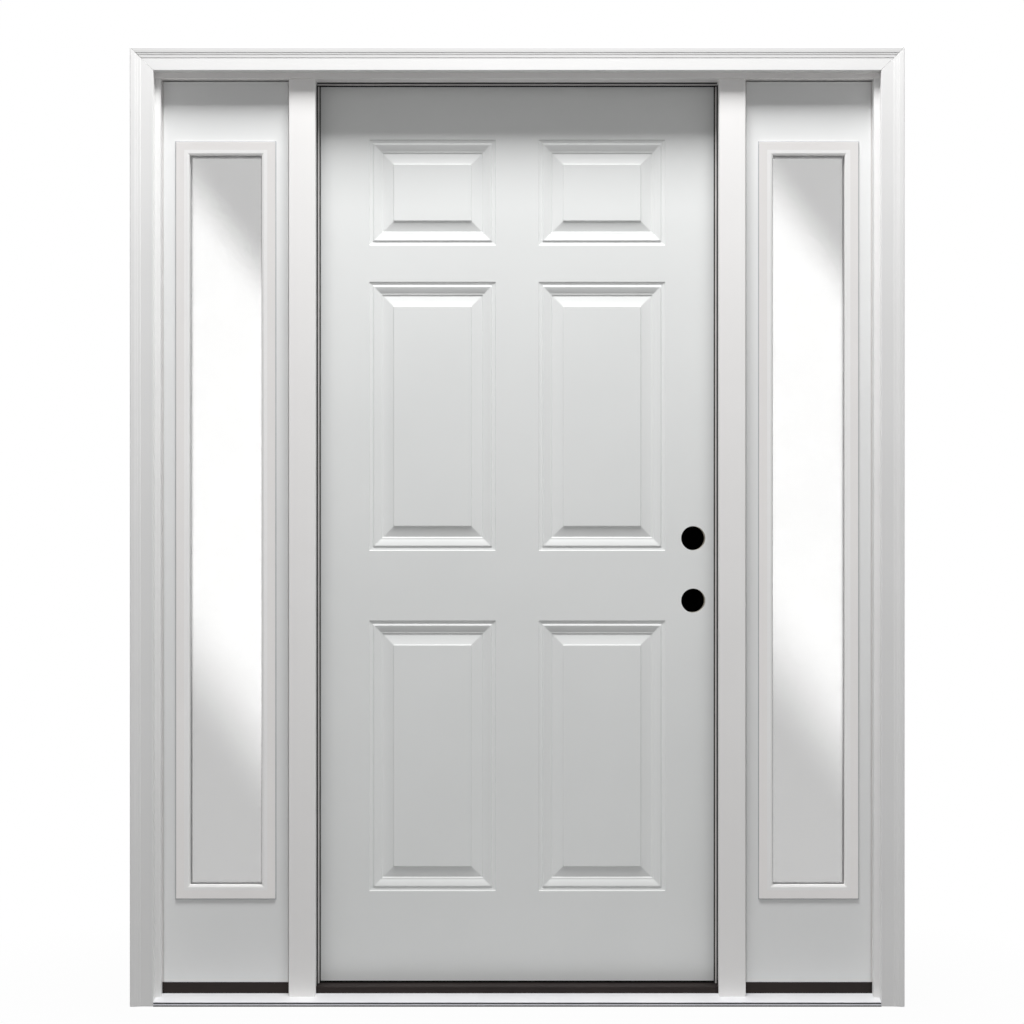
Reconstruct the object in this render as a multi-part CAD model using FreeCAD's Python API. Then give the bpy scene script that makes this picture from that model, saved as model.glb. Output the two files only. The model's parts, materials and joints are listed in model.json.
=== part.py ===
import FreeCAD, Part
import os

from FreeCAD import Vector

# A white prehung entry unit: a six-panel inswing door between two fixed sidelights, in one rabbeted frame.
# X runs to the right seen from outside, Y into the building and Z up. The origin lies under the middle of
# the sill, in the plane of the jambs' exterior edges, where the casing's back meets the wall.
# Sizes are millimetres.

# Door slab
DOOR_WIDTH = 908.05
DOOR_HEIGHT = 2012.95
DOOR_THICKNESS = 44.45
DOOR_GAP = 5.0  # at the hinge, latch and top edges
LATCH_BEVEL = 2.3  # the latch edge is narrower at the exterior face, so that it swings clear
SKIN = 0.8  # pressed steel sheet on each face
STILE_WIDTH = 38.0
TOP_BLOCK_HEIGHT = 32.0
BOTTOM_BLOCK_HEIGHT = 60.0

# Layout of the six panels, from the bottom of the slab up
BOTTOM_RAIL = 200.5
LOWER_PANEL = 604.5
LOCK_RAIL = 156.5
MIDDLE_PANEL = 601.0
UPPER_RAIL = 82.0
TOP_PANEL = 236.0
PANEL_WIDTH = 283.0
CENTRE_STILE = 96.0

# Pressed moulding round each panel, from its outer edge inwards
GROOVE_WIDTH = 11.5
GROOVE_DEPTH = 2.9  # in the middle of the groove
LIP_DEPTH = 0.6  # between the groove and the ovolo
OVOLO_WIDTH = 16.0
OVOLO_DEPTH = 6.2
OVOLO_BOW = 0.4
FILLET_WIDTH = 2.0
QUIRK_WIDTH = 1.5
QUIRK_DEPTH = 7.4
BEVEL_WIDTH = 27.0
BEVEL_BOW = 1.3
TROUGH_SLOPE = 12.0  # width of the slope in the foam behind the bevel

# Lock preparation
BACKSET = 60.325
LOCK_BORE_RADIUS = 26.99
LATCH_BORE_RADIUS = 12.7
HANDLE_HEIGHT = 889.2
LOCK_SPACING = 139.7
LOCK_BLOCK_WIDTH = 110.0
LOCK_BLOCK_MARGIN = 110.0  # above the deadbolt's bore and below the handle's
STRIKE_DEPTH = 24.0  # of the pocket in the post that takes a bolt
STRIKE_WIDTH = 22.0
STRIKE_HEIGHT = 34.0

# Butt hinges
HINGE_HEIGHT = 101.6
LEAF_WIDTH = 34.0
LEAF_THICKNESS = 2.4
LEAF_CORNER = 12.0
KNUCKLE_RADIUS = 5.6
KNUCKLE_COUNT = 3
KNUCKLE_GAP = 0.4
PIN_RADIUS = 3.0
PIN_PLAY = 0.05
PIN_STANDOFF = 6.3  # from the slab's interior face to the pin's axis
TOP_HINGE_DROP = 229.0
BOTTOM_HINGE_RISE = 330.0

# Frame
JAMB_THICKNESS = 31.75
JAMB_DEPTH = 115.9
RABBET = 12.7
MULL_WIDTH = 59.0
MULL_COVER_THICKNESS = 15.0
MULL_COVER_SETBACK = 5.0
MULL_COVER_EASE = 2.0
SIDELIGHT_OPENING = 282.1

# Exterior casing, from its inner edge outwards
CASING_WIDTH = 50.8
CASING_THICKNESS = 31.75
CASING_REVEAL = 12.7
CASING_FLAT_WIDTH = 25.0
CASING_FLAT_THICKNESS = 24.0
CASING_OVOLO_WIDTH = 5.0
CASING_OVOLO_RISE = 1.6
CASING_BAND_WIDTH = 10.8
CASING_FILLET = 1.2
CASING_COVE_BOW = 1.0
CASING_EASE = 1.6

# Weatherstrip: a foam bulb on a barb that sits in a kerf of the stop
KERF_WIDTH = 3.0
KERF_DEPTH = 9.0
KERF_INSET = 4.0
BARB_PLAY = 0.25
SEAL_REACH = 7.0  # past the stop's face into the opening
SEAL_GAP = 7.95  # between the stop and the slab
SEAL_CLEARANCE = 0.4  # to the slab
SEAL_ROUND = 3.2

# Sill
SILL_NOSE = 27.0  # in front of the jambs
NOSE_HEIGHT = 9.7
NOSE_FACE_HEIGHT = 4.8
NOSE_FACE_SETBACK = 1.0
NOSE_FOOT_HEIGHT = 1.4
NOSE_FOOT_SETBACK = 2.0  # behind the face
NOSE_GROOVE_DEPTH = 3.0
NOSE_WALL = 5.0
DECK_THICKNESS = 1.8
DECK_HEIGHT = 19.4  # at the foot of the threshold
DECK_TUCK = 22.0  # under the threshold
THRESHOLD_HEIGHT = 34.4
THRESHOLD_BACK = 4.0  # short of the jambs' interior edges
THRESHOLD_EASE = 2.5
UNDERCUT = 5.05
SWEEP_BASE = 1.6
SWEEP_FIN = 1.4
SWEEP_FIN_COUNT = 4
SWEEP_INSET = 3.0
SWEEP_CLEARANCE = 0.4
SILL_BLOCK_HEIGHT = 44.0
SILL_BLOCK_EASE = 1.5

# Fixed sidelights
SIDELIGHT_LEAD = 45.45  # in front of the door's exterior face
SIDELIGHT_GAP = 2.5
LITE_SIDE_MARGIN = 26.55  # of the panel beside the lite frame
LITE_TOP_MARGIN = 132.2
LITE_BOTTOM_MARGIN = 184.0
LITE_FACE = 32.0
LITE_BAND = 19.5  # flat outer part of the face
LITE_BAND_HEIGHT = 4.2
LITE_BEAD_HEIGHT = 6.6
LITE_CHAMFER = 1.8
LITE_SLOPE = 1.6  # width of the slope from the bead to the glass
LITE_SLOPE_FOOT = 3.0  # height of the sight edge over the glass seat
LITE_LAP = 20.0
LITE_PLAY = 1.0
GLASS_RECESS = 8.0
GLASS_PLAY = 2.5
PANE_THICKNESS = 3.2
SPACER_INSET = 3.0
SPACER_WIDTH = 8.5
INTERIOR_STOP_DEPTH = 19.0
INTERIOR_STOP_LAP = 11.0
INTERIOR_STOP_EASE = 5.0
STOP_JOINT = 0.3

# Places that follow from the sizes
door_half = DOOR_WIDTH / 2
rabbet_half = door_half + DOOR_GAP
stop_half = rabbet_half - RABBET
mull_outer = stop_half + MULL_WIDTH
jamb_face = mull_outer + SIDELIGHT_OPENING
jamb_rabbet = jamb_face + RABBET
jamb_back = jamb_face + JAMB_THICKNESS
casing_inner = jamb_face + CASING_REVEAL
casing_outer = casing_inner + CASING_WIDTH

door_bottom = THRESHOLD_HEIGHT + UNDERCUT
door_top = door_bottom + DOOR_HEIGHT
head_rabbet = door_top + DOOR_GAP
head_soffit = head_rabbet - RABBET
head_top = head_soffit + JAMB_THICKNESS
casing_sill = head_soffit + CASING_REVEAL
casing_top = casing_sill + CASING_WIDTH

door_back = JAMB_DEPTH
door_front = door_back - DOOR_THICKNESS
door_middle = (door_front + door_back) / 2
stop_depth = door_front - SEAL_GAP
panel_front = door_front - SIDELIGHT_LEAD  # of the sidelights and of what they and the slab stand on
panel_back = panel_front + DOOR_THICKNESS
cover_back = MULL_COVER_SETBACK + MULL_COVER_THICKNESS

lock_x = door_half - BACKSET
lock_heights = (HANDLE_HEIGHT, HANDLE_HEIGHT + LOCK_SPACING)
pin_x = -(door_half + DOOR_GAP / 2)
pin_y = door_back + PIN_STANDOFF
top_hinge = door_top - TOP_HINGE_DROP
bottom_hinge = door_bottom + BOTTOM_HINGE_RISE
hinge_heights = (bottom_hinge, (bottom_hinge + top_hinge) / 2, top_hinge)

QUARTER_BOW = 0.2929  # bow of a quarter circle over its radius


# Shapes


def block(x0, x1, y0, y1, z0, z1):
    return Part.makeBox(x1 - x0, y1 - y0, z1 - z0, Vector(x0, y0, z0))


def outline(place, points):
    """Closed wire through (a, b) points. A third number makes the edge that ends there an arc, whose middle
    stands that far to the left of its chord. place turns (a, b) into a point in space."""
    edges = []
    for start, end in zip(points, points[1:] + points[:1]):
        first, last = place(*start[:2]), place(*end[:2])
        if len(end) == 2:
            edges.append(Part.makeLine(first, last))
            continue
        da, db = end[0] - start[0], end[1] - start[1]
        length = (da * da + db * db) ** 0.5
        middle_a = (start[0] + end[0]) / 2 - db / length * end[2]
        middle_b = (start[1] + end[1]) / 2 + da / length * end[2]
        edges.append(Part.Arc(first, place(middle_a, middle_b), last).toShape())
    return Part.Wire(edges)


def prism(place, points, along):
    return Part.Face(outline(place, points)).extrude(along)


def along_x(points, x0, x1):
    """Section in (y, z), drawn out from x0 to x1."""
    return prism(lambda y, z: Vector(x0, y, z), points, Vector(x1 - x0, 0, 0))


def along_y(points, y0, y1):
    """Section in (x, z), drawn out from y0 to y1."""
    return prism(lambda x, z: Vector(x, y0, z), points, Vector(0, y1 - y0, 0))


def along_z(points, z0, z1):
    """Section in (x, y), drawn out from z0 to z1."""
    return prism(lambda x, y: Vector(x, y, z0), points, Vector(0, 0, z1 - z0))


def rod(radius, start, along):
    return Part.makeCylinder(radius, along.Length, start, along)


def mirrored(shape):
    """The same piece on the other side of the unit."""
    return shape.mirror(Vector(0, 0, 0), Vector(1, 0, 0))


def pair(name, right):
    return {f"right_{name}": right, f"left_{name}": mirrored(right)}


def to_room_side(shapes, middle_y):
    """The same pieces on the interior face of a slab whose middle plane is at middle_y."""
    return [shape.mirror(Vector(0, middle_y, 0), Vector(0, 1, 0)) for shape in shapes]


def picture_frame(section, x0, x1, z0, z1, face_y):
    """Mitred ring: a section in (inset, height) carried round the rectangle x0..x1, z0..z1 on the exterior
    face at y = face_y, with its heights towards the street."""
    middle = (x0 + x1) / 2
    corners = [(middle, z0), (x1, z0), (x1, z1), (x0, z1), (x0, z0), (middle, z0)]
    path = Part.makePolygon([Vector(x, face_y, z) for x, z in corners])
    ring = Part.BRepOffsetAPI.MakePipeShell(path)
    ring.setTransitionMode(1)
    ring.add(outline(lambda inset, height: Vector(middle, face_y - height, z0 + inset), section))
    ring.build()
    ring.makeSolid()
    return ring.shape()


# Exterior casing


def casing_section():
    """Points in (inset from the inner edge, thickness): a flat, a cove and an ovolo between fillets, and
    a band."""
    ovolo_foot = CASING_WIDTH - CASING_BAND_WIDTH - CASING_OVOLO_WIDTH
    band_foot = CASING_WIDTH - CASING_BAND_WIDTH
    ovolo_top = CASING_THICKNESS - CASING_FILLET
    ease = CASING_EASE
    return [
        (0, 0),
        (0, CASING_FLAT_THICKNESS - ease),
        (ease, CASING_FLAT_THICKNESS, ease * QUARTER_BOW),
        (CASING_FLAT_WIDTH, CASING_FLAT_THICKNESS),
        (CASING_FLAT_WIDTH, CASING_FLAT_THICKNESS + CASING_FILLET),
        (ovolo_foot, ovolo_top - CASING_OVOLO_RISE - CASING_FILLET, -CASING_COVE_BOW),
        (ovolo_foot, ovolo_top - CASING_OVOLO_RISE),
        (band_foot, ovolo_top, CASING_OVOLO_RISE * QUARTER_BOW),
        (band_foot, CASING_THICKNESS),
        (CASING_WIDTH - ease, CASING_THICKNESS),
        (CASING_WIDTH, CASING_THICKNESS - ease, ease * QUARTER_BOW),
        (CASING_WIDTH, 0),
    ]


def casing():
    section = casing_section()
    leg = prism(lambda u, t: Vector(casing_inner + u, -t, 0), section, Vector(0, 0, casing_top))
    leg_outline = [
        (casing_inner, 0),
        (casing_outer, 0),
        (casing_outer, casing_top),
        (casing_inner, casing_sill),
    ]
    leg = leg.common(along_y(leg_outline, -CASING_THICKNESS, 0))
    run = Vector(2 * casing_outer, 0, 0)
    head = prism(lambda u, t: Vector(-casing_outer, -t, casing_sill + u), section, run)
    head_outline = [
        (-casing_inner, casing_sill),
        (casing_inner, casing_sill),
        (casing_outer, casing_top),
        (-casing_outer, casing_top),
    ]
    head = head.common(along_y(head_outline, -CASING_THICKNESS, 0))
    return {"casing_head": head, **pair("casing_leg", leg)}


# Jambs and mull posts


def head_jamb():
    section = [
        (0, head_soffit),
        (stop_depth, head_soffit),
        (stop_depth, head_rabbet),
        (JAMB_DEPTH, head_rabbet),
        (JAMB_DEPTH, head_top),
        (0, head_top),
    ]
    kerf_low = head_soffit + KERF_INSET
    kerf_front = stop_depth - KERF_DEPTH
    kerf = block(-stop_half, stop_half, kerf_front, stop_depth, kerf_low, kerf_low + KERF_WIDTH)
    return along_x(section, -jamb_back, jamb_back).cut(kerf)


def side_jamb():
    """Right-hand jamb, from the floor to the underside of the head."""
    section = [
        (jamb_face, 0),
        (jamb_back, 0),
        (jamb_back, JAMB_DEPTH),
        (jamb_rabbet, JAMB_DEPTH),
        (jamb_rabbet, stop_depth),
        (jamb_face, stop_depth),
    ]
    return along_z(section, 0, head_rabbet)


def mull_post():
    """Right-hand post, from the sill to the head, rabbeted and kerfed for the door on its inner side."""
    kerf_inner = stop_half + KERF_INSET
    kerf_outer = kerf_inner + KERF_WIDTH
    kerf_front = stop_depth - KERF_DEPTH
    section = [
        (stop_half, cover_back),
        (mull_outer, cover_back),
        (mull_outer, JAMB_DEPTH),
        (rabbet_half, JAMB_DEPTH),
        (rabbet_half, stop_depth),
        (kerf_outer, stop_depth),
        (kerf_outer, kerf_front),
        (kerf_inner, kerf_front),
        (kerf_inner, stop_depth),
        (stop_half, stop_depth),
    ]
    return along_z(section, 0, head_rabbet)


def mull_cover():
    """Right-hand flat cover over the front of the post, with eased edges."""
    ease = MULL_COVER_EASE
    front = MULL_COVER_SETBACK
    section = [
        (stop_half, cover_back),
        (stop_half, front + ease),
        (stop_half + ease, front, -ease * QUARTER_BOW),
        (mull_outer - ease, front),
        (mull_outer, front + ease, -ease * QUARTER_BOW),
        (mull_outer, cover_back),
    ]
    return along_z(section, 0, head_soffit)


# Sill


def deck_height(y):
    """Top of the sloping deck."""
    rise = (DECK_HEIGHT - NOSE_HEIGHT) / (panel_front + SILL_NOSE)
    return NOSE_HEIGHT + rise * (y + SILL_NOSE)


def sill_top():
    """Outline in (y, z) of everything below the deck's top, for fitting what stands on it."""
    return [
        (-SILL_NOSE, 0),
        (JAMB_DEPTH, 0),
        (JAMB_DEPTH, DECK_HEIGHT),
        (panel_front, DECK_HEIGHT),
        (-SILL_NOSE, NOSE_HEIGHT),
    ]


def sill_deck():
    """Extruded aluminium deck: a sloping plate with a round lip over a groove, and a short front wall on an
    undercut foot."""
    lip = DECK_THICKNESS / 2
    face = NOSE_FACE_SETBACK - SILL_NOSE
    groove = face + NOSE_GROOVE_DEPTH
    wall_back = face + NOSE_WALL
    lip_under = NOSE_HEIGHT - DECK_THICKNESS
    foot = face + NOSE_FOOT_SETBACK
    section = [
        (foot, 0),
        (wall_back, 0),
        (wall_back, deck_height(wall_back) - DECK_THICKNESS),
        (panel_front, DECK_HEIGHT - DECK_THICKNESS),
        (panel_front + DECK_TUCK, DECK_HEIGHT - DECK_THICKNESS),
        (panel_front + DECK_TUCK, DECK_HEIGHT),
        (panel_front, DECK_HEIGHT),
        (lip - SILL_NOSE, deck_height(lip - SILL_NOSE)),
        (lip - SILL_NOSE, lip_under, -lip),
        (groove, lip_under),
        (groove, NOSE_FACE_HEIGHT),
        (face, NOSE_FACE_HEIGHT),
        (face, NOSE_FOOT_HEIGHT),
        (foot, NOSE_FOOT_HEIGHT),
    ]
    return along_x(section, -casing_inner, casing_inner)


def sill_base():
    """Composite body under the deck."""
    front = NOSE_FACE_SETBACK - SILL_NOSE + NOSE_WALL
    section = [
        (front, 0),
        (JAMB_DEPTH, 0),
        (JAMB_DEPTH, DECK_HEIGHT),
        (panel_front + DECK_TUCK, DECK_HEIGHT),
        (panel_front + DECK_TUCK, DECK_HEIGHT - DECK_THICKNESS),
        (panel_front, DECK_HEIGHT - DECK_THICKNESS),
        (front, deck_height(front) - DECK_THICKNESS),
    ]
    return along_x(section, -casing_inner, casing_inner)


def threshold_cap():
    ease = THRESHOLD_EASE
    back = JAMB_DEPTH - THRESHOLD_BACK
    section = [
        (panel_front, DECK_HEIGHT),
        (panel_front, THRESHOLD_HEIGHT - ease),
        (panel_front + ease, THRESHOLD_HEIGHT, ease * QUARTER_BOW),
        (back - ease, THRESHOLD_HEIGHT),
        (back, THRESHOLD_HEIGHT - ease, ease * QUARTER_BOW),
        (back, DECK_HEIGHT),
    ]
    return along_x(section, -rabbet_half, rabbet_half)


def sill_block():
    """Right-hand block that carries the sidelight's panel."""
    ease = SILL_BLOCK_EASE
    section = [
        (panel_front, DECK_HEIGHT),
        (panel_front, SILL_BLOCK_HEIGHT - ease),
        (panel_front + ease, SILL_BLOCK_HEIGHT, ease * QUARTER_BOW),
        (JAMB_DEPTH, SILL_BLOCK_HEIGHT),
        (JAMB_DEPTH, DECK_HEIGHT),
    ]
    return along_x(section, mull_outer, jamb_rabbet)


def frame():
    """Jambs, posts and sill, each cut to the ones that it meets."""
    head = head_jamb()
    jamb = side_jamb().cut(head)
    jambs = [jamb, mirrored(jamb)]
    sill = along_x(sill_top(), -casing_inner, casing_inner)
    post = mull_post().cut(head).cut(sill)
    posts = [post, mirrored(post)]
    nodes = {"head_jamb": head, **pair("side_jamb", jamb), **pair("mull_post", post)}
    pocket_y = door_middle - STRIKE_WIDTH / 2
    for height in lock_heights:
        corner = Vector(rabbet_half, pocket_y, height - STRIKE_HEIGHT / 2)
        pocket = Part.makeBox(STRIKE_DEPTH, STRIKE_WIDTH, STRIKE_HEIGHT, corner)
        nodes["right_mull_post"] = nodes["right_mull_post"].cut(pocket)
    nodes.update(pair("mull_cover", mull_cover().cut(sill)))
    nodes["sill_deck"] = sill_deck().cut(jambs)
    nodes["sill_base"] = sill_base().cut(jambs)
    nodes["threshold_cap"] = threshold_cap().cut(posts)
    nodes.update(pair("sidelight_sill_block", sill_block().cut(jamb)))
    return nodes


# Weatherstrip


def seal_section():
    """Points in (reach past the stop's face, y): a bulb with a round nose, and its barb in the kerf."""
    back = door_front - SEAL_CLEARANCE
    barb_outer = -KERF_INSET - BARB_PLAY
    barb_inner = -KERF_INSET - KERF_WIDTH + BARB_PLAY
    barb_tip = stop_depth - KERF_DEPTH + BARB_PLAY
    return [
        (SEAL_REACH - SEAL_ROUND, back),
        (-RABBET + BARB_PLAY, back),
        (-RABBET + BARB_PLAY, stop_depth),
        (barb_inner, stop_depth),
        (barb_inner, barb_tip),
        (barb_outer, barb_tip),
        (barb_outer, stop_depth),
        (SEAL_REACH - SEAL_ROUND, stop_depth),
        (SEAL_REACH, stop_depth + SEAL_ROUND, -SEAL_ROUND * QUARTER_BOW),
        (SEAL_REACH, back - SEAL_ROUND),
    ]


def weatherstrip():
    """Latch, hinge and head lengths, butted at the corners."""
    section = seal_section()
    joint = head_soffit - SEAL_REACH - BARB_PLAY
    rise = Vector(0, 0, joint - THRESHOLD_HEIGHT - BARB_PLAY)
    foot = THRESHOLD_HEIGHT + BARB_PLAY
    upright = prism(lambda u, y: Vector(stop_half - u, y, foot), section, rise)
    run = Vector(2 * (stop_half - BARB_PLAY), 0, 0)
    head = prism(lambda u, y: Vector(BARB_PLAY - stop_half, y, head_soffit - u), section, run)
    return {
        "head_weatherstrip": head,
        "latch_weatherstrip": upright,
        "hinge_weatherstrip": mirrored(upright),
    }


# Sidelights


def lite_section():
    """Points in (inset from the outer edge, height over the panel): a flat band, a bead, a slope to the
    glass and a tongue that reaches into the panel's opening."""
    sight = LITE_SLOPE_FOOT - GLASS_RECESS
    bead_end = LITE_FACE - LITE_SLOPE
    return [
        (0, 0),
        (0, LITE_BAND_HEIGHT - LITE_CHAMFER),
        (LITE_CHAMFER, LITE_BAND_HEIGHT),
        (LITE_BAND, LITE_BAND_HEIGHT),
        (LITE_BAND, LITE_BEAD_HEIGHT - LITE_CHAMFER),
        (LITE_BAND + LITE_CHAMFER, LITE_BEAD_HEIGHT),
        (bead_end - LITE_CHAMFER, LITE_BEAD_HEIGHT),
        (bead_end, LITE_BEAD_HEIGHT - LITE_CHAMFER),
        (LITE_FACE, sight),
        (LITE_FACE, -GLASS_RECESS),
        (LITE_LAP + LITE_PLAY, -GLASS_RECESS),
        (LITE_LAP + LITE_PLAY, 0),
    ]


def sidelight_stops():
    """Four strips behind the right-hand panel, with hairline joints between them."""
    y0, y1 = panel_back, panel_back + INTERIOR_STOP_DEPTH
    lap = SIDELIGHT_GAP + INTERIOR_STOP_LAP
    x0, x1 = mull_outer + lap, jamb_face - lap
    z0, z1 = SILL_BLOCK_HEIGHT + INTERIOR_STOP_LAP, head_soffit - lap
    ease = INTERIOR_STOP_EASE
    bow = ease * QUARTER_BOW

    def strip(place, outer, inner, along):
        """Section from its outer to its inner edge, eased at the inner edge on the room side."""
        turn = 1 if inner > outer else -1
        points = [
            (outer, y0),
            (outer, y1),
            (inner - turn * ease, y1),
            (inner, y1 - ease, turn * bow),
            (inner, y0),
        ]
        return prism(place, points, along)

    rise = Vector(0, 0, head_rabbet - SILL_BLOCK_HEIGHT)
    run = Vector(x1 - x0 - 2 * STOP_JOINT, 0, 0)
    upright_at = lambda x, y: Vector(x, y, SILL_BLOCK_HEIGHT)
    level_at = lambda z, y: Vector(x0 + STOP_JOINT, y, z)
    strips = [
        strip(upright_at, mull_outer, x0, rise),
        strip(upright_at, jamb_rabbet, x1, rise),
        strip(level_at, SILL_BLOCK_HEIGHT, z0, run),
        strip(level_at, head_rabbet, z1, run),
    ]
    return Part.makeCompound(strips)


def sidelights():
    """Panel with its lite frames, insulating glass unit and interior stops."""
    x0, x1 = mull_outer + SIDELIGHT_GAP, jamb_face - SIDELIGHT_GAP
    z0, z1 = SILL_BLOCK_HEIGHT, head_soffit - SIDELIGHT_GAP
    lite_x0, lite_x1 = x0 + LITE_SIDE_MARGIN, x1 - LITE_SIDE_MARGIN
    lite_z0, lite_z1 = z0 + LITE_BOTTOM_MARGIN, z1 - LITE_TOP_MARGIN
    lite_frame = picture_frame(lite_section(), lite_x0, lite_x1, lite_z0, lite_z1, panel_front)

    def inside(inset, y0, y1):
        return block(lite_x0 + inset, lite_x1 - inset, y0, y1, lite_z0 + inset, lite_z1 - inset)

    glass_edge = LITE_LAP + GLASS_PLAY
    spacer_edge = glass_edge + SPACER_INSET
    outer_y = panel_front + GLASS_RECESS
    inner_y = panel_back - GLASS_RECESS
    spacer = inside(spacer_edge, outer_y + PANE_THICKNESS, inner_y - PANE_THICKNESS)
    spacer_hole = inside(spacer_edge + SPACER_WIDTH, outer_y, inner_y)
    panel = block(x0, x1, panel_front, panel_back, z0, z1)
    return {
        **pair("sidelight_panel", panel.cut(inside(LITE_LAP, panel_front, panel_back))),
        **pair("exterior_lite_frame", lite_frame),
        **pair("interior_lite_frame", to_room_side([lite_frame], (panel_front + panel_back) / 2)[0]),
        **pair("outer_pane", inside(glass_edge, outer_y, outer_y + PANE_THICKNESS)),
        **pair("inner_pane", inside(glass_edge, inner_y - PANE_THICKNESS, inner_y)),
        **pair("glass_spacer", spacer.cut(spacer_hole)),
        **pair("sidelight_stops", sidelight_stops()),
    }


# Hinges


def leaf_plate(edge_x, inwards):
    """Plates of the three leaves let into an edge at edge_x, with round corners away from the knuckles."""
    y0, y1 = door_back - LEAF_WIDTH, door_back
    corner = LEAF_CORNER
    bow = corner * QUARTER_BOW
    plates = []
    for middle in hinge_heights:
        z0, z1 = middle - HINGE_HEIGHT / 2, middle + HINGE_HEIGHT / 2
        points = [
            (y1, z0),
            (y1, z1),
            (y0 + corner, z1),
            (y0, z1 - corner, -bow),
            (y0, z0 + corner),
            (y0 + corner, z0, -bow),
        ]
        plates.append(along_x(points, edge_x, edge_x + inwards * LEAF_THICKNESS))
    return plates


def knuckles(plates, edge_x, inwards, first):
    """Adds every second knuckle, from the first, to the plates, each on a tab of the plate's thickness."""
    pitch = HINGE_HEIGHT / KNUCKLE_COUNT
    leaves = []
    for plate, middle in zip(plates, hinge_heights):
        low = middle - HINGE_HEIGHT / 2
        x0, x1 = sorted((edge_x, edge_x + inwards * LEAF_THICKNESS))
        pieces = []
        for index in range(first, KNUCKLE_COUNT, 2):
            z0 = low + index * pitch + KNUCKLE_GAP / 2
            height = pitch - KNUCKLE_GAP
            pieces.append(block(x0, x1, door_back - LEAF_THICKNESS, pin_y, z0, z0 + height))
            pieces.append(rod(KNUCKLE_RADIUS, Vector(pin_x, pin_y, z0), Vector(0, 0, height)))
        leaves.append(plate.fuse(pieces))
    return leaves


def pins(play=0.0):
    """Pins of the three hinges, or with play the bores that turn on them."""
    reach = HINGE_HEIGHT / 2
    return [
        rod(PIN_RADIUS + play, Vector(pin_x, pin_y, middle - reach), Vector(0, 0, 2 * reach))
        for middle in hinge_heights
    ]


def hinges():
    """Jamb leaves with the pins pressed into their knuckles, and door leaves that turn on the pins."""
    jamb = [
        leaf.fuse(pin).removeSplitter()
        for leaf, pin in zip(knuckles(leaf_plate(-rabbet_half, -1), -rabbet_half, -1, 0), pins())
    ]
    door = [
        leaf.cut(bore).removeSplitter()
        for leaf, bore in zip(knuckles(leaf_plate(-door_half, 1), -door_half, 1, 1), pins(PIN_PLAY))
    ]
    return {"hinge_jamb_leaves": Part.makeCompound(jamb), "hinge_door_leaves": Part.makeCompound(door)}


# Door


def panel_rows():
    """Lower and upper edge of each row of panels."""
    rows = []
    height = door_bottom
    for rail, panel in ((BOTTOM_RAIL, LOWER_PANEL), (LOCK_RAIL, MIDDLE_PANEL), (UPPER_RAIL, TOP_PANEL)):
        rows.append((height + rail, height + rail + panel))
        height += rail + panel
    return rows


def moulding_section():
    """Points in (inset from the panel's edge, height over the face) round what the press sinks: a groove,
    an ovolo, a fillet, a quirk and a hollow bevel that rises to the flush field."""
    fillet = GROOVE_WIDTH + OVOLO_WIDTH
    quirk = fillet + FILLET_WIDTH
    bevel = quirk + QUIRK_WIDTH
    return [
        (0, 0),
        (GROOVE_WIDTH / 2, -GROOVE_DEPTH),
        (GROOVE_WIDTH, -LIP_DEPTH),
        (fillet, -OVOLO_DEPTH, OVOLO_BOW),
        (quirk, -OVOLO_DEPTH),
        (bevel, -QUIRK_DEPTH),
        (bevel + BEVEL_WIDTH, 0, -BEVEL_BOW),
    ]


def trough_section():
    """Points in (inset, height) round the plain trough that the foam leaves behind a moulding."""
    field = GROOVE_WIDTH + OVOLO_WIDTH + FILLET_WIDTH + QUIRK_WIDTH + BEVEL_WIDTH
    return [(0, 0), (0, -QUIRK_DEPTH), (field - TROUGH_SLOPE, -QUIRK_DEPTH), (field, 0)]


def panel_cutters(section, face_y):
    """What is sunk into the exterior face at face_y round its six panels."""
    inner, outer = CENTRE_STILE / 2, CENTRE_STILE / 2 + PANEL_WIDTH
    cutters = []
    for z0, z1 in panel_rows():
        for x0, x1 in ((-outer, -inner), (inner, outer)):
            cutters.append(picture_frame(section, x0, x1, z0, z1, face_y))
    return cutters


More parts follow.
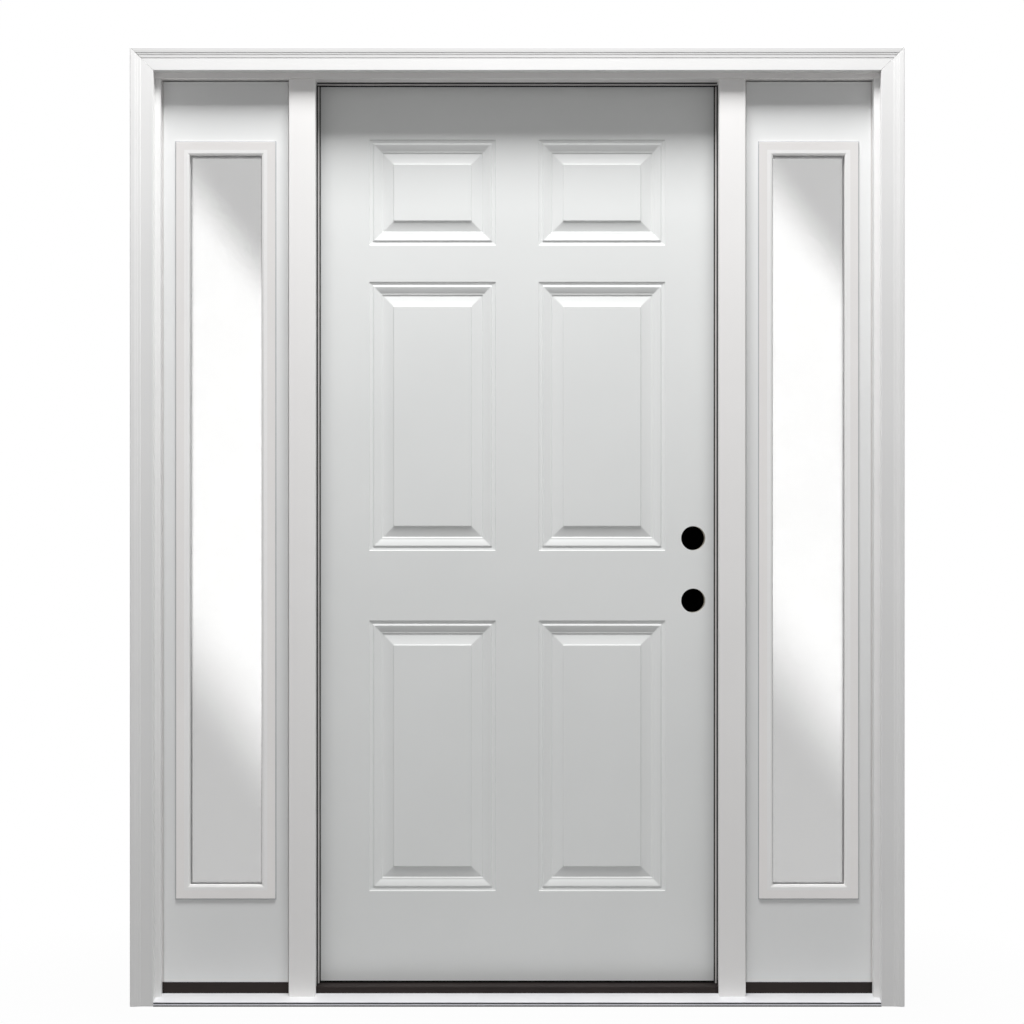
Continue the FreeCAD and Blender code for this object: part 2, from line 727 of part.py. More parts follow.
def door():
    """Two pressed skins over a foam core, edged with stiles, blocks and a lock block."""
    inside_front, inside_back = door_front + SKIN, door_back - SKIN
    bevel_edge = [(door_half - LATCH_BEVEL, door_front), (door_half, door_back), (door_half, door_front)]
    bevel = along_z(bevel_edge, door_bottom, door_top)
    low_block = HANDLE_HEIGHT - LOCK_BLOCK_MARGIN
    high_block = HANDLE_HEIGHT + LOCK_SPACING + LOCK_BLOCK_MARGIN
    stile = door_half - STILE_WIDTH
    lock_edge = door_half - LOCK_BLOCK_WIDTH
    bores = [
        rod(LOCK_BORE_RADIUS, Vector(lock_x, door_front, height), Vector(0, DOOR_THICKNESS, 0))
        for height in lock_heights
    ]
    latch_bores = [
        rod(LATCH_BORE_RADIUS, Vector(lock_x, door_middle, height), Vector(BACKSET, 0, 0))
        for height in lock_heights
    ]
    plates = leaf_plate(-door_half, 1)

    def layer(y0, y1):
        return block(-door_half, door_half, y0, y1, door_bottom, door_top).cut(bevel)

    def edging(x0, x1, z0, z1):
        return block(x0, x1, inside_front, inside_back, z0, z1).cut(bevel)

    front_cutters = panel_cutters(moulding_section(), door_front)
    inner_front_cutters = panel_cutters(moulding_section(), inside_front)
    front_troughs = panel_cutters(trough_section(), inside_front)
    back_cutters = to_room_side(front_cutters, door_middle)
    inner_back_cutters = to_room_side(inner_front_cutters, door_middle)
    front_half = layer(door_front, door_middle).cut(front_cutters)
    front_inside = layer(inside_front, door_middle).cut(inner_front_cutters)
    back_half = layer(door_middle, door_back).cut(back_cutters)
    back_inside = layer(door_middle, inside_back).cut(inner_back_cutters)

    nodes = {
        "door_exterior_skin": front_half.cut(front_inside).cut(bores),
        "door_interior_skin": back_half.cut(back_inside).cut(bores + plates),
        "door_hinge_stile": edging(-door_half, -stile, door_bottom, door_top).cut(plates),
        "door_upper_latch_stile": edging(stile, door_half, high_block, door_top),
        "door_lower_latch_stile": edging(stile, door_half, door_bottom, low_block),
        "door_lock_block": edging(lock_edge, door_half, low_block, high_block).cut(bores + latch_bores),
        "door_top_block": edging(-stile, stile, door_top - TOP_BLOCK_HEIGHT, door_top),
        "door_bottom_block": edging(-stile, stile, door_bottom, door_bottom + BOTTOM_BLOCK_HEIGHT),
    }
    core = edging(-stile, stile, door_bottom + BOTTOM_BLOCK_HEIGHT, door_top - TOP_BLOCK_HEIGHT)
    core = core.cut(edging(lock_edge, door_half, low_block, high_block))
    nodes["door_core"] = core.cut(front_troughs + to_room_side(front_troughs, door_middle))
    nodes["door_sweep"] = door_sweep()
    return nodes


def door_sweep():
    """Vinyl strip under the slab, with fins that end just over the threshold."""
    x0, x1 = -door_half + SWEEP_INSET, door_half - LATCH_BEVEL - SWEEP_INSET
    y0, y1 = door_front + SWEEP_INSET, door_back - SWEEP_INSET
    z0, z1 = door_bottom - SWEEP_BASE, door_bottom
    pitch = (y1 - y0 - SWEEP_FIN) / (SWEEP_FIN_COUNT - 1)
    fins = []
    for index in range(SWEEP_FIN_COUNT):
        fin_y = y0 + index * pitch
        fins.append(block(x0, x1, fin_y, fin_y + SWEEP_FIN, THRESHOLD_HEIGHT + SWEEP_CLEARANCE, z0))
    return block(x0, x1, y0, y1, z0, z1).fuse(fins).removeSplitter()


def build():
    nodes = {**casing(), **frame(), **weatherstrip(), **sidelights(), **door()}
    jamb_plates = leaf_plate(-rabbet_half, -1)
    nodes["left_mull_post"] = nodes["left_mull_post"].cut(jamb_plates)
    nodes.update(hinges())
    return nodes


os.makedirs("parts", exist_ok=True)
for name, shape in build().items():
    shape.exportStep(f"parts/{name}.step")
    print(name, len(shape.Solids), round(shape.Volume / 1000, 1), shape.isValid())
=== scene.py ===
# %% [markdown]
# # A white entry door between two sidelights
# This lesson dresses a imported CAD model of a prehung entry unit. The model gives every piece its place
# and size. Here most of the pieces that show are worked out again, with eased edges and pressed
# mouldings, and every piece gets a finish.

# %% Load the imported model
import json
import math

import bmesh
import bpy
import numpy as np
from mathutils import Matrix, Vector, geometry


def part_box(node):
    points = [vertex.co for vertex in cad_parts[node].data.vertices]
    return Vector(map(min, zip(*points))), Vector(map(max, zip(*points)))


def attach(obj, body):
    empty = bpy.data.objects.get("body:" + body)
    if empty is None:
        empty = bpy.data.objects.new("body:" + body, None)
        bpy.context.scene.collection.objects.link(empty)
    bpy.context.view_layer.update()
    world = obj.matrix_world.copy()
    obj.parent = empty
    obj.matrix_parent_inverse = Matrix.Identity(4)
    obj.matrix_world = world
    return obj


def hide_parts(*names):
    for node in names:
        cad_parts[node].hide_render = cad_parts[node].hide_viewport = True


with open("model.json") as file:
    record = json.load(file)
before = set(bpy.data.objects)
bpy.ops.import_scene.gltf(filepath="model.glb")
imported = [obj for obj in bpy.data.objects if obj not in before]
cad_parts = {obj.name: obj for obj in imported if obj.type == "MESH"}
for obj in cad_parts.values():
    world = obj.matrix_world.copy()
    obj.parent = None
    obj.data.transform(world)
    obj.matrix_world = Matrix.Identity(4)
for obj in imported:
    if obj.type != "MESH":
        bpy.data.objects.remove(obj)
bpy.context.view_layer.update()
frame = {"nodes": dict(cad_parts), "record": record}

scene = bpy.context.scene
scene.view_settings.view_transform = "Standard"

# %% [markdown]
# ## The camera
# The photograph looks straight at the unit from the street. How far the sill, the soffit and the slab's
# foot shift against the casing tells that the lens was about 5.6 m away, at half the unit's height. A
# level camera with a small shift keeps the uprights parallel, which turning the camera wouldn't.

# %% Camera
CAMERA_PLACE = (0.0, -5.632, 1.054)
SENSOR_WIDTH, FOCAL_LENGTH = 36.0, 89.65
LENS_SHIFT = (-0.0051, 0.0146)
lens = bpy.data.cameras.new("street_camera")
lens.sensor_width, lens.lens = SENSOR_WIDTH, FOCAL_LENGTH
lens.shift_x, lens.shift_y = LENS_SHIFT
camera = bpy.data.objects.new("street_camera", lens)
camera.location = CAMERA_PLACE
camera.rotation_euler = (math.pi / 2, 0.0, 0.0)
scene.collection.objects.link(camera)
scene.camera = camera
print("camera", CAMERA_PLACE, "lens", FOCAL_LENGTH, "mm")

# %% [markdown]
# ## Finishes
# A painted or moulded surface is never one flat colour. Two noises on Object coordinates are enough for
# most of the unit: a broad one drifts between two near tones, and a fine one, stretched along the grain
# or the rolling lines, gives the bump and the change of gloss. Because they read Object coordinates,
# the pattern stays put when the door swings.

# %% A finish from two noises
EVEN = (1.0, 1.0, 1.0)
NOISE_SPAN = (0.3, 0.7)
PAINTED_LIGHT_SPAN = (0.3, 1.9)
BROAD_DETAIL, FINE_DETAIL = 4.0, 3.0


def add_nodes(nodes, *kinds):
    """New shader nodes of the kinds that are named."""
    return [nodes.new(f"ShaderNode{kind}") for kind in kinds]


def set_span(node, side, values):
    """Sets the From or the To range of a Map Range node."""
    node.inputs[f"{side} Min"].default_value, node.inputs[f"{side} Max"].default_value = values


def finish(name, light, dark, patch, grain, rough, bump, metal=0.0, stretch=EVEN, specular=0.5, painted_light_factors=None):
    """Surface whose colour runs from dark to light with a noise of patch waves a metre, and whose
    roughness and height follow a second noise of grain waves a metre, stretched by the three factors.
    If the factors for height are given, the colour is also scaled with the height in metres, from the first
    factor
    at the foot to the second at the top: painted light, which evens out the lamp's fall-off."""
    material = bpy.data.materials.new(name)
    material.use_nodes = True
    nodes, links = material.node_tree.nodes, material.node_tree.links
    shader = nodes["Principled BSDF"]
    shader.inputs["Metallic"].default_value = metal
    shader.inputs["Specular IOR Level"].default_value = specular
    place, broad, tones = add_nodes(nodes, "TexCoord", "TexNoise", "ValToRGB")
    pull, fine, gloss, height = add_nodes(nodes, "Mapping", "TexNoise", "MapRange", "Bump")
    broad.inputs["Scale"].default_value, broad.inputs["Detail"].default_value = patch, BROAD_DETAIL
    for end, where, tone in zip(tones.color_ramp.elements, NOISE_SPAN, (dark, light)):
        end.position, end.color = where, (*tone, 1.0)
    pull.inputs["Scale"].default_value = stretch
    fine.inputs["Scale"].default_value, fine.inputs["Detail"].default_value = grain, FINE_DETAIL
    set_span(gloss, "From", NOISE_SPAN)
    set_span(gloss, "To", rough)
    height.inputs["Strength"].default_value, height.inputs["Distance"].default_value = bump
    links.new(place.outputs["Object"], broad.inputs["Vector"])
    links.new(broad.outputs["Fac"], tones.inputs["Fac"])
    colour = tones.outputs["Color"]
    # Painted light: the colour is scaled paler low down and darker high up, to even out the lamp's
    # fall-off.
    if painted_light_factors:
        axes, level, scale = add_nodes(nodes, "SeparateXYZ", "MapRange", "VectorMath")
        set_span(level, "From", PAINTED_LIGHT_SPAN)
        set_span(level, "To", painted_light_factors)
        scale.operation = "SCALE"
        links.new(place.outputs["Object"], axes.inputs["Vector"])
        links.new(axes.outputs["Z"], level.inputs["Value"])
        links.new(colour, scale.inputs[0])
        links.new(level.outputs["Result"], scale.inputs["Scale"])
        colour = scale.outputs["Vector"]
    links.new(colour, shader.inputs["Base Color"])
    links.new(place.outputs["Object"], pull.inputs["Vector"])
    links.new(pull.outputs["Vector"], fine.inputs["Vector"])
    links.new(fine.outputs["Fac"], gloss.inputs["Value"])
    links.new(gloss.outputs["Result"], shader.inputs["Roughness"])
    links.new(fine.outputs["Fac"], height.inputs["Height"])
    links.new(height.outputs["Normal"], shader.inputs["Normal"])
    return material


print("a finish drifts while its noise is within", NOISE_SPAN)

# %% [markdown]
# The slab is primed steel, a little cool, with the fine pebble of sprayed paint. The jambs and the
# casing are primed pine, a little warm, with a faint grain along each length; the head jamb is painted
# paler than the rest, as painted light that lifts the shade under the casing. The lite frames are
# smooth white plastic, with painted light in their colour: paler at the foot and darker at the top, to
# even out the lamp's fall-off. A grey tape lies under them, whose grey is also painted shade for the
# fine line round each frame.

# %% Paints and plastics
GRAIN_UP, GRAIN_LEVEL = (1.0, 1.0, 0.04), (0.04, 1.0, 1.0)
sprayed = dict(grain=900.0, rough=(0.55, 0.68), bump=(0.12, 0.0002), specular=0.3)
pine = dict(light=(0.848, 0.846, 0.842), dark=(0.82, 0.817, 0.812), patch=4.0, grain=260.0,
            rough=(0.38, 0.52), bump=(0.16, 0.0003))
white_coat = dict(patch=4.0, grain=260.0, rough=(0.4, 0.54), bump=(0.12, 0.0003))
moulded = dict(patch=5.0, grain=1400.0, bump=(0.08, 0.00015), specular=0.8)
steel_paint = finish("primed_steel", (0.884, 0.895, 0.888), (0.854, 0.866, 0.859), patch=3.0, **sprayed)
panel_paint = finish("primed_panel", (0.872, 0.879, 0.876), (0.844, 0.851, 0.848), patch=3.5, **sprayed)
upright_paint = finish("primed_pine_upright", stretch=GRAIN_UP, **pine)
level_paint = finish("primed_pine_level", stretch=GRAIN_LEVEL, **pine)
cover_paint = finish("white_cover", (0.93, 0.918, 0.91), (0.905, 0.893, 0.884), stretch=GRAIN_UP,
                     **white_coat)
# The head jamb's paint is paler than the other pine: painted light that lifts the shade under the casing.
head_shade_lift_paint = finish("head_pine_painted_light", (0.95, 0.934, 0.922), (0.925, 0.908, 0.896), stretch=GRAIN_LEVEL,
                    **white_coat)
# The lite frames carry painted light: their colour is paler at the foot and darker at the top.
lite_plastic = finish("lite_band_plastic", (0.86, 0.84, 0.828), (0.835, 0.815, 0.803), rough=(0.3, 0.4),
                      painted_light_factors=(1.13, 0.88), **moulded)
bead_plastic = finish("lite_bead_plastic", (0.9, 0.893, 0.888), (0.88, 0.873, 0.868), rough=(0.26, 0.36),
                      painted_light_factors=(1.09, 0.92), **moulded)
# Grey tape, whose grey also paints the fine shade line round each lite frame.
tape_and_shade_grey = finish("glazing_tape_and_painted_shade", (0.5, 0.505, 0.53), (0.43, 0.435, 0.46), patch=12.0, grain=900.0,
                   rough=(0.6, 0.75), bump=(0.15, 0.0002))
print("paints", steel_paint.name, panel_paint.name, upright_paint.name, level_paint.name)

# %% [markdown]
# The sill's deck is mill aluminium, drawn out along its length, so its noise is stretched hard along X.
# The threshold and the blocks under the sidelights are dark brown composite. The weatherstrip is a dark
# carrier with a pale bulb; the carrier's black also stands in for the shade in the gaps beside the bulb,
# and the same dark rubber paints shade as a film on the stop and a bead at the sill's foot.

# %% Metals, composite, rubber and foam
drawn = dict(patch=5.0, grain=1800.0, bump=(0.2, 0.0002), metal=0.15, stretch=(0.006, 1.0, 1.0))
soft = dict(patch=30.0, grain=1500.0, bump=(0.15, 0.0002))
mill_aluminium = finish("mill_aluminium", (0.95, 0.95, 0.96), (0.86, 0.865, 0.89), rough=(0.4, 0.55),
                        **drawn)
# The sill's front wall is a darker copy of the same aluminium: painted shade on the face under the lip.
shaded_wall_aluminium = finish("aluminium_wall_painted_shade", (0.86, 0.865, 0.9), (0.74, 0.745, 0.78), rough=(0.45, 0.6),
                        **drawn)
brown_composite = finish("brown_composite", (0.022, 0.0157, 0.014), (0.0145, 0.0102, 0.0094), patch=9.0,
                         grain=420.0, rough=(0.55, 0.7), bump=(0.3, 0.0003), stretch=(0.05, 1.0, 1.0),
                         specular=0.2)
# Dark rubber for the sweep and the weatherstrip's carrier; the same dark also paints shade as the film on
# the stop and the bead at the sill's foot.
dark_rubber = finish("dark_rubber", (0.006, 0.0055, 0.0055), (0.0035, 0.0032, 0.0032), rough=(0.62, 0.78),
                     specular=0.2, **soft)
# Dark grey for the strip in the sill's groove: painted shade.
groove_shade_vinyl = finish("groove_shade_vinyl", (0.075, 0.075, 0.08), (0.05, 0.05, 0.055), rough=(0.5, 0.65), **soft)
pale_foam = finish("pale_foam", (0.84, 0.815, 0.8), (0.76, 0.735, 0.72), patch=25.0, grain=1200.0,
                   rough=(0.6, 0.75), bump=(0.2, 0.0002))
hinge_metal = finish("satin_hinge_metal", (0.62, 0.6, 0.57), (0.5, 0.485, 0.46), patch=40.0, grain=2400.0,
                     rough=(0.25, 0.4), bump=(0.12, 0.0001), metal=1.0, stretch=(1.0, 1.0, 0.03))
raw_pine = finish("primed_door_edge", (0.82, 0.79, 0.73), (0.72, 0.67, 0.58), patch=6.0, grain=300.0,
                  rough=(0.55, 0.7), bump=(0.3, 0.0003), stretch=(1.0, 1.0, 0.03))
core_foam = finish("core_foam", (0.8, 0.73, 0.5), (0.7, 0.62, 0.4), patch=30.0, grain=700.0,
                   rough=(0.8, 0.95), bump=(0.5, 0.0006))
spacer_grey = finish("spacer_grey", (0.86, 0.86, 0.87), (0.8, 0.8, 0.81), patch=20.0, grain=1500.0,
                     rough=(0.4, 0.55), bump=(0.1, 0.0001))
print("materials by now", len(bpy.data.materials))

# %% [markdown]
# Glass takes its grey from the tint of two panes. A very slow noise makes it a little wavy, as float
# glass is, and changes its roughness a little, as a film of dust does.


# %% Glass
def tinted_glass(name, tint, film=0.97, index=1.5):
    """Clear glass that keeps tint of the light, less in places by the factor film, with slow waves in
    its surface."""
    dusty = tuple(film * share for share in tint)
    material = finish(name, tint, dusty, patch=1.5, grain=6.0, rough=(0.0, 0.02), bump=(0.012, 0.002))
    shader = material.node_tree.nodes["Principled BSDF"]
    shader.inputs["Transmission Weight"].default_value = 1.0
    shader.inputs["IOR"].default_value = index
    return material


pane_glass = tinted_glass("pane_glass", (0.735, 0.734, 0.732))
print("glass", pane_glass.name)

# %% [markdown]
# ## Tools for shaping
# Everything long on a door unit is a profile carried along a path. The profile is a closed outline
# drawn in millimetres, and the path is a few stations, each with an origin and two directions.

# %% Outlines
MM = 0.001
ARC_STEPS = 6
GUARD, GUARD_SHARE = 0.6, 0.3
QUARTER_BOW = 0.2929


def box_mm(node):
    """Lowest and highest corner of a CAD node in millimetres."""
    low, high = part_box(node)
    return np.array(low) / MM, np.array(high) / MM


def circle(steps):
    """Points of a circle of radius 1, as many as steps."""
    turn = np.linspace(0.0, 2 * math.pi, steps, endpoint=False)
    return np.stack([np.cos(turn), np.sin(turn)], axis=1)


def outline(points):
    """Closed outline through (a, b) or (a, b, bow) points. The edge that ends at q starts at the point
    p before it and is p + (q - p) s + 4 bow s (1 - s) n, with q's bow and n to the left of the chord. A
    straight edge keeps a point near each end, so that shading is flat between."""
    corners = np.array([(*point, 0.0)[:3] for point in points], float)
    start, end = corners[:, :2], np.roll(corners[:, :2], -1, axis=0)
    bow = np.roll(corners[:, 2], -1)[:, None]
    chord = end - start
    span = np.linalg.norm(chord, axis=1)[:, None]
    left = np.stack([-chord[:, 1], chord[:, 0]], axis=1) / span
    near = np.minimum(GUARD / span, GUARD_SHARE)
    inner = near + (1 - 2 * near) * np.arange(ARC_STEPS - 1) / (ARC_STEPS - 2)
    step = np.where(bow != 0, np.arange(ARC_STEPS) / ARC_STEPS, np.concatenate([0 * near, inner], axis=1))
    swell = 4 * bow * step * (1 - step)
    bowed = start[:, None] + chord[:, None] * step[..., None] + left[:, None] * swell[..., None]
    return bowed.reshape(-1, 2)


def eased(points, radius):
    """Points with bows for an outline whose corners are all eased: each corner becomes two points,
    radius before it and radius after it, with a quarter round between."""
    corner = np.array(points, float)
    back = np.roll(corner, 1, axis=0) - corner
    ahead = np.roll(corner, -1, axis=0) - corner
    back /= np.linalg.norm(back, axis=1)[:, None]
    ahead /= np.linalg.norm(ahead, axis=1)[:, None]
    side = np.sign(back[:, 0] * ahead[:, 1] - back[:, 1] * ahead[:, 0])[:, None]
    first = np.concatenate([corner + radius * back, 0 * side], axis=1)
    second = np.concatenate([corner + radius * ahead, QUARTER_BOW * radius * side], axis=1)
    return np.stack([first, second], axis=1).reshape(-1, 3)


def inward(section):
    """Unit normals of a closed outline that point into it."""
    along = np.roll(section, -1, axis=0) - np.roll(section, 1, axis=0)
    span = np.maximum(np.linalg.norm(along, axis=1), 1e-9)[:, None]
    left = np.stack([-along[:, 1], along[:, 0]], axis=1) / span
    a, b = section.T
    area = np.sum(a * np.roll(b, -1) - b * np.roll(a, -1))
    return left * np.sign(area)


print("square of 10 mm, eased by 1 mm:", outline(eased([(0, 0), (10, 0), (10, 10), (0, 10)], 1.0)).shape)

# %% [markdown]
# A grid of points needs only its faces and a home in the scene. `put` merges doubled points, turns the
# faces of a closed shell outwards, marks hard edges by angle, and tells the frame what the piece rides
# on and what it replaces.

# %% Grids and pieces
SAME_POINT = 1e-6
record = frame["record"]
node_body = {node: body for body, members in record["behaviour"]["bodies"].items() for node in members}


def grid_faces(rows, columns, round_rows=False, round_columns=False):
    """Quads of a grid of points, closed on itself in either direction if asked."""
    down, across = np.arange(rows - (not round_rows)), np.arange(columns - (not round_columns))
    r, c = np.meshgrid(down, across, indexing="ij")
    r1, c1 = (r + 1) % rows, (c + 1) % columns
    corners = [r * columns + c, r * columns + c1, r1 * columns + c1, r1 * columns + c]
    return np.stack(corners, axis=-1).reshape(-1, 4)


def put(name, points, faces, material, *nodes, body=None, slot=None, closed=True, sharp=32.0):
    """Makes a piece from points in millimetres, and lets it stand for the CAD nodes that are named.
    Edges that bend by more than sharp degrees are hard, and so is the border of an open sheet."""
    mesh = bpy.data.meshes.new(name)
    mesh.from_pydata((np.asarray(points).reshape(-1, 3) * MM).tolist(), [], [list(face) for face in faces])
    work = bmesh.new()
    work.from_mesh(mesh)
    bmesh.ops.remove_doubles(work, verts=work.verts, dist=SAME_POINT)
    if closed:
        bmesh.ops.recalc_face_normals(work, faces=work.faces)
    work.to_mesh(mesh)
    work.free()
    mesh.shade_smooth()
    mesh.set_sharp_from_angle(angle=math.radians(sharp))
    if not closed:
        used = np.zeros(len(mesh.loops), np.int32)
        mesh.loops.foreach_get("edge_index", used)
        hard = np.zeros(len(mesh.edges), bool)
        mesh.edges.foreach_get("use_edge_sharp", hard)
        mesh.edges.foreach_set("use_edge_sharp", hard | (np.bincount(used, minlength=len(hard)) == 1))
    mesh.materials.append(material)
    piece = bpy.data.objects.new(name, mesh)
    scene.collection.objects.link(piece)
    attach(piece, body or node_body[nodes[0]])
    if nodes:
        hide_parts(*nodes)
    return piece


def length(name, section, first, last, material, *nodes, ease=0.35, **options):
    """Profile carried along a straight path: point = origin + a U + b V at each station (origin, U, V).
    The end stations draw the profile in by ease, which breaks the edge of each end so that a joint
    shows as a fine line."""
    section = np.asarray(section)
    (start, *start_axes), (end, *end_axes) = np.array(first, float), np.array(last, float)
    step = ease * (end - start) / np.linalg.norm(end - start)
    origin = np.stack([start, start + step, end - step, end])
    across, up = (np.stack([a, a, b, b]) for a, b in zip(start_axes, end_axes))
    inset = np.array([ease, 0.0, 0.0, ease])
    shape = section[None] + inset[:, None, None] * inward(section)[None]
    points = origin[:, None] + shape[..., :1] * across[:, None] + shape[..., 1:] * up[:, None]
    stations, count = points.shape[:2]
    caps = [list(range(count)), list(range((stations - 1) * count, stations * count))]
    faces = grid_faces(stations, count, round_columns=True).tolist() + caps
    return put(name, points, faces, material, *nodes, **options)


X, Y, Z = np.eye(3)
SIDES = ((1, "right"), (-1, "left"))
THIN_EASE = 0.1
print("bodies of the nodes", sorted(set(node_body.values())))

# %% [markdown]
# ## The casing
# The brickmould is one profile in three lengths, mitred at the two upper corners: a flat, two narrow
# bands that rise in small steps, and a band outside. At a mitre the profile's own direction leans by 45
# degrees, so U is (1, 0, 1) at the right one and (-1, 0, 1) at the left one.

# %% Brickmould
MITRE_EASE = 0.9
casing_in, casing_foot = box_mm("right_casing_leg")[0][0], box_mm("casing_head")[0][2]
casing_section = outline([
    (0, 0), (0, 25.6), (1.6, 27.2, 0.47), (28.1, 27.2), (28.4, 28.1), (34.9, 28.7), (35.2, 29.4),
    (39.2, 29.8), (39.5, 30.7), (44, 31.3), (49.2, 31.75), (50.8, 30.15, 0.47), (50.8, 0),
])
mitre = {}
for side, name in SIDES:
    foot = side * casing_in * X
    mitre[name] = (foot + casing_foot * Z, side * X + Z, -Y)
    length(f"{name}_brickmould", casing_section, (foot, side * X, -Y), mitre[name], upright_paint,
           f"{name}_casing_leg", ease=MITRE_EASE)
length("head_brickmould", casing_section, mitre["left"], mitre["right"], level_paint, "casing_head",
       ease=MITRE_EASE)
print("casing from", casing_in, "its mitre from", casing_foot)

# %% [markdown]
# ## Jambs and mull covers
# The jambs are rabbeted boards with slightly broken edges. A side jamb is two lengths, because behind
# its stop it runs on up into the rabbet of the head. The posts behind the covers keep their CAD shape,
# because they carry the strike pockets and the seats of the hinge leaves. They only get their paint.

# %% Jambs
STOP, RABBET = 63.5, 12.7
BOARD_EASE, JAMB_LAP = 0.8, 2.0
jamb_low, jamb_high = box_mm("right_side_jamb")
head_jamb_low, head_jamb_high = box_mm("head_jamb")
jamb_face, jamb_back, jamb_depth = jamb_low[0], jamb_high[0], jamb_high[1]
jamb_top, head_top = head_jamb_low[2], head_jamb_high[2]
rabbet_face, rabbet_top, rear = jamb_face + RABBET, jamb_top + RABBET, STOP - JAMB_LAP
front_corners = [(jamb_face, 0), (jamb_back, 0), (jamb_back, STOP), (jamb_face, STOP)]
rear_corners = [(rabbet_face, rear), (jamb_back, rear), (jamb_back, jamb_depth), (rabbet_face, jamb_depth)]
head_corners = [(0, jamb_top), (0, head_top), (jamb_depth, head_top), (jamb_depth, rabbet_top),
                (STOP, rabbet_top), (STOP, jamb_top)]
front_section, rear_section, head_section = (
    outline(eased(corners, BOARD_EASE)) for corners in (front_corners, rear_corners, head_corners))
for side, name in SIDES:
    foot = (0 * Z, side * X, Y)
    length(f"{name}_jamb_board", front_section, foot, (jamb_top * Z, side * X, Y), upright_paint,
           f"{name}_side_jamb")
    length(f"{name}_jamb_rear", rear_section, foot, (rabbet_top * Z, side * X, Y), upright_paint,
           body="frame", slot="frame_paint")
# The head jamb gets the paler paint: painted light against the casing's shade.
length("head_jamb_board", head_section, (-jamb_back * X, Y, Z), (jamb_back * X, Y, Z), head_shade_lift_paint,
       "head_jamb")
print("jamb board", jamb_face, jamb_back, jamb_depth, jamb_top)

# %% [markdown]
# Each post wears a flat cover towards the street. Its foot stands on the sloping deck, so the first
# station's V leans with the slope, which cuts the foot of the cover to it.

# %% Mull covers
NOSE_TOP, DECK_SLOPE = 9.7, 9.7 / 53.0
NOSE_TO_JAMB = 27.0
COVER_FRONT, COVER_BACK, COVER_ROUND, COVER_BOW = 5.0, 20.0, 2.5, -0.73
deck_at_jamb = NOSE_TOP + NOSE_TO_JAMB * DECK_SLOPE
cover_low, cover_high = box_mm("right_mull_cover")
stop_half, mull_outer = cover_low[0], cover_high[0]
cover_section = outline([
    (stop_half, COVER_BACK), (stop_half, COVER_FRONT + COVER_ROUND),
    (stop_half + COVER_ROUND, COVER_FRONT, COVER_BOW), (mull_outer - COVER_ROUND, COVER_FRONT),
    (mull_outer, COVER_FRONT + COVER_ROUND, COVER_BOW), (mull_outer, COVER_BACK),
])
for side, name in SIDES:
    length(f"{name}_mull_board", cover_section, (deck_at_jamb * Z, side * X, Y + DECK_SLOPE * Z),
           (jamb_top * Z, side * X, Y), cover_paint, f"{name}_mull_cover")
print("mull boards", stop_half, mull_outer)

# %% [markdown]
# ## Rings
# A panel moulding and a lite frame are each a profile carried round a rectangle. A true mitre is a
# crease, but pressed or moulded material turns its corner in a small radius. Adding the same tiny
# quarter round to the corner at every inset moves each line of the profile along the diagonal, so the
# lines never cross.

# %% Profile round a rectangle
TURN_STEPS = 6


def ring_points(x0, x1, z0, z1, inset, y, turn=1.5, hold=4.0):
    """Point (k, j) = corner + sign (inset_j + round_k) in X and Z and y_j in Y, where round_k walks a
    quarter circle of radius turn at each corner, with one more station hold away on either side to keep
    the long runs straight."""
    angle = np.linspace(0.0, math.pi / 2, TURN_STEPS)
    run = np.concatenate([[0.0], turn * (1 - np.cos(angle)), [turn + hold]])
    walk = np.stack([[run, run[::-1]], [run[::-1], run]] * 2)
    corner = np.array([[x0, z0], [x1, z0], [x1, z1], [x0, z1]], float)
    sign = np.array([[1, 1], [-1, 1], [-1, -1], [1, -1]], float)
    flat = corner[:, :, None, None] + sign[:, :, None, None] * (inset + walk[..., None])
    flat = flat.transpose(0, 2, 3, 1).reshape(-1, len(inset), 2)
    return np.stack([flat[..., 0], np.broadcast_to(y, flat.shape[:2]), flat[..., 1]], axis=-1)


print("ring of 3 lines:", ring_points(0, 100, 0, 50, np.arange(3.0), np.zeros(3)).shape)

# %% [markdown]
# ## The pressed skins
# The slab is two sheets of steel, each pressed into six panels. The press leaves a groove, an ovolo, a
# fillet, a quirk and a hollow bevel that ends in a small step up to the flush field. The section is
# drawn first and then blurred a little, because sheet steel can't take a sharp crease. It is sampled
# more closely where it bends.

# %% Section of the moulding
PRESS_BLUR, BLUR_REACH, FINE_STEP = 0.3, 2.5, 0.05
moulding = [(0, 0), (1.0, -1.7), (7.4, -3.1), (11, -0.5), (25.6, -5.4, 0.4), (27.8, -5.4), (31, -7.4),
            (53.9, -2.2, -0.4), (55.2, 0), (58, 0)]
curve = outline(moulding)[: (len(moulding) - 1) * ARC_STEPS + 1]
fine_inset = np.arange(-8.0, 68.0, FINE_STEP)
fine_depth = -np.interp(fine_inset, curve[:, 0], curve[:, 1], left=0.0, right=0.0)
reach = np.arange(-BLUR_REACH, BLUR_REACH + FINE_STEP / 2, FINE_STEP)
kernel = np.exp(-0.5 * (reach / PRESS_BLUR) ** 2)
soft_depth = np.convolve(fine_depth, kernel / kernel.sum(), mode="same")
press_inset = np.concatenate([
    [-3.0], np.arange(-1.2, 2.4, 0.3), np.arange(2.5, 13.5, 0.5), np.arange(13.5, 24.5, 1.2),
    np.arange(24.6, 33.0, 0.4), np.arange(33.0, 52.5, 2.2), np.arange(52.8, 57.2, 0.4), [62.0],
])
press_depth = np.interp(press_inset, fine_inset, soft_depth)
print("moulding lines", len(press_inset), "deepest", round(press_depth.max(), 2), "mm")

# %% [markdown]
# Six rings of that section make the mouldings. The flat between the panels is triangulated from its
# outlines, with the two lock bores left open, and a Solidify modifier gives the sheet its thickness.

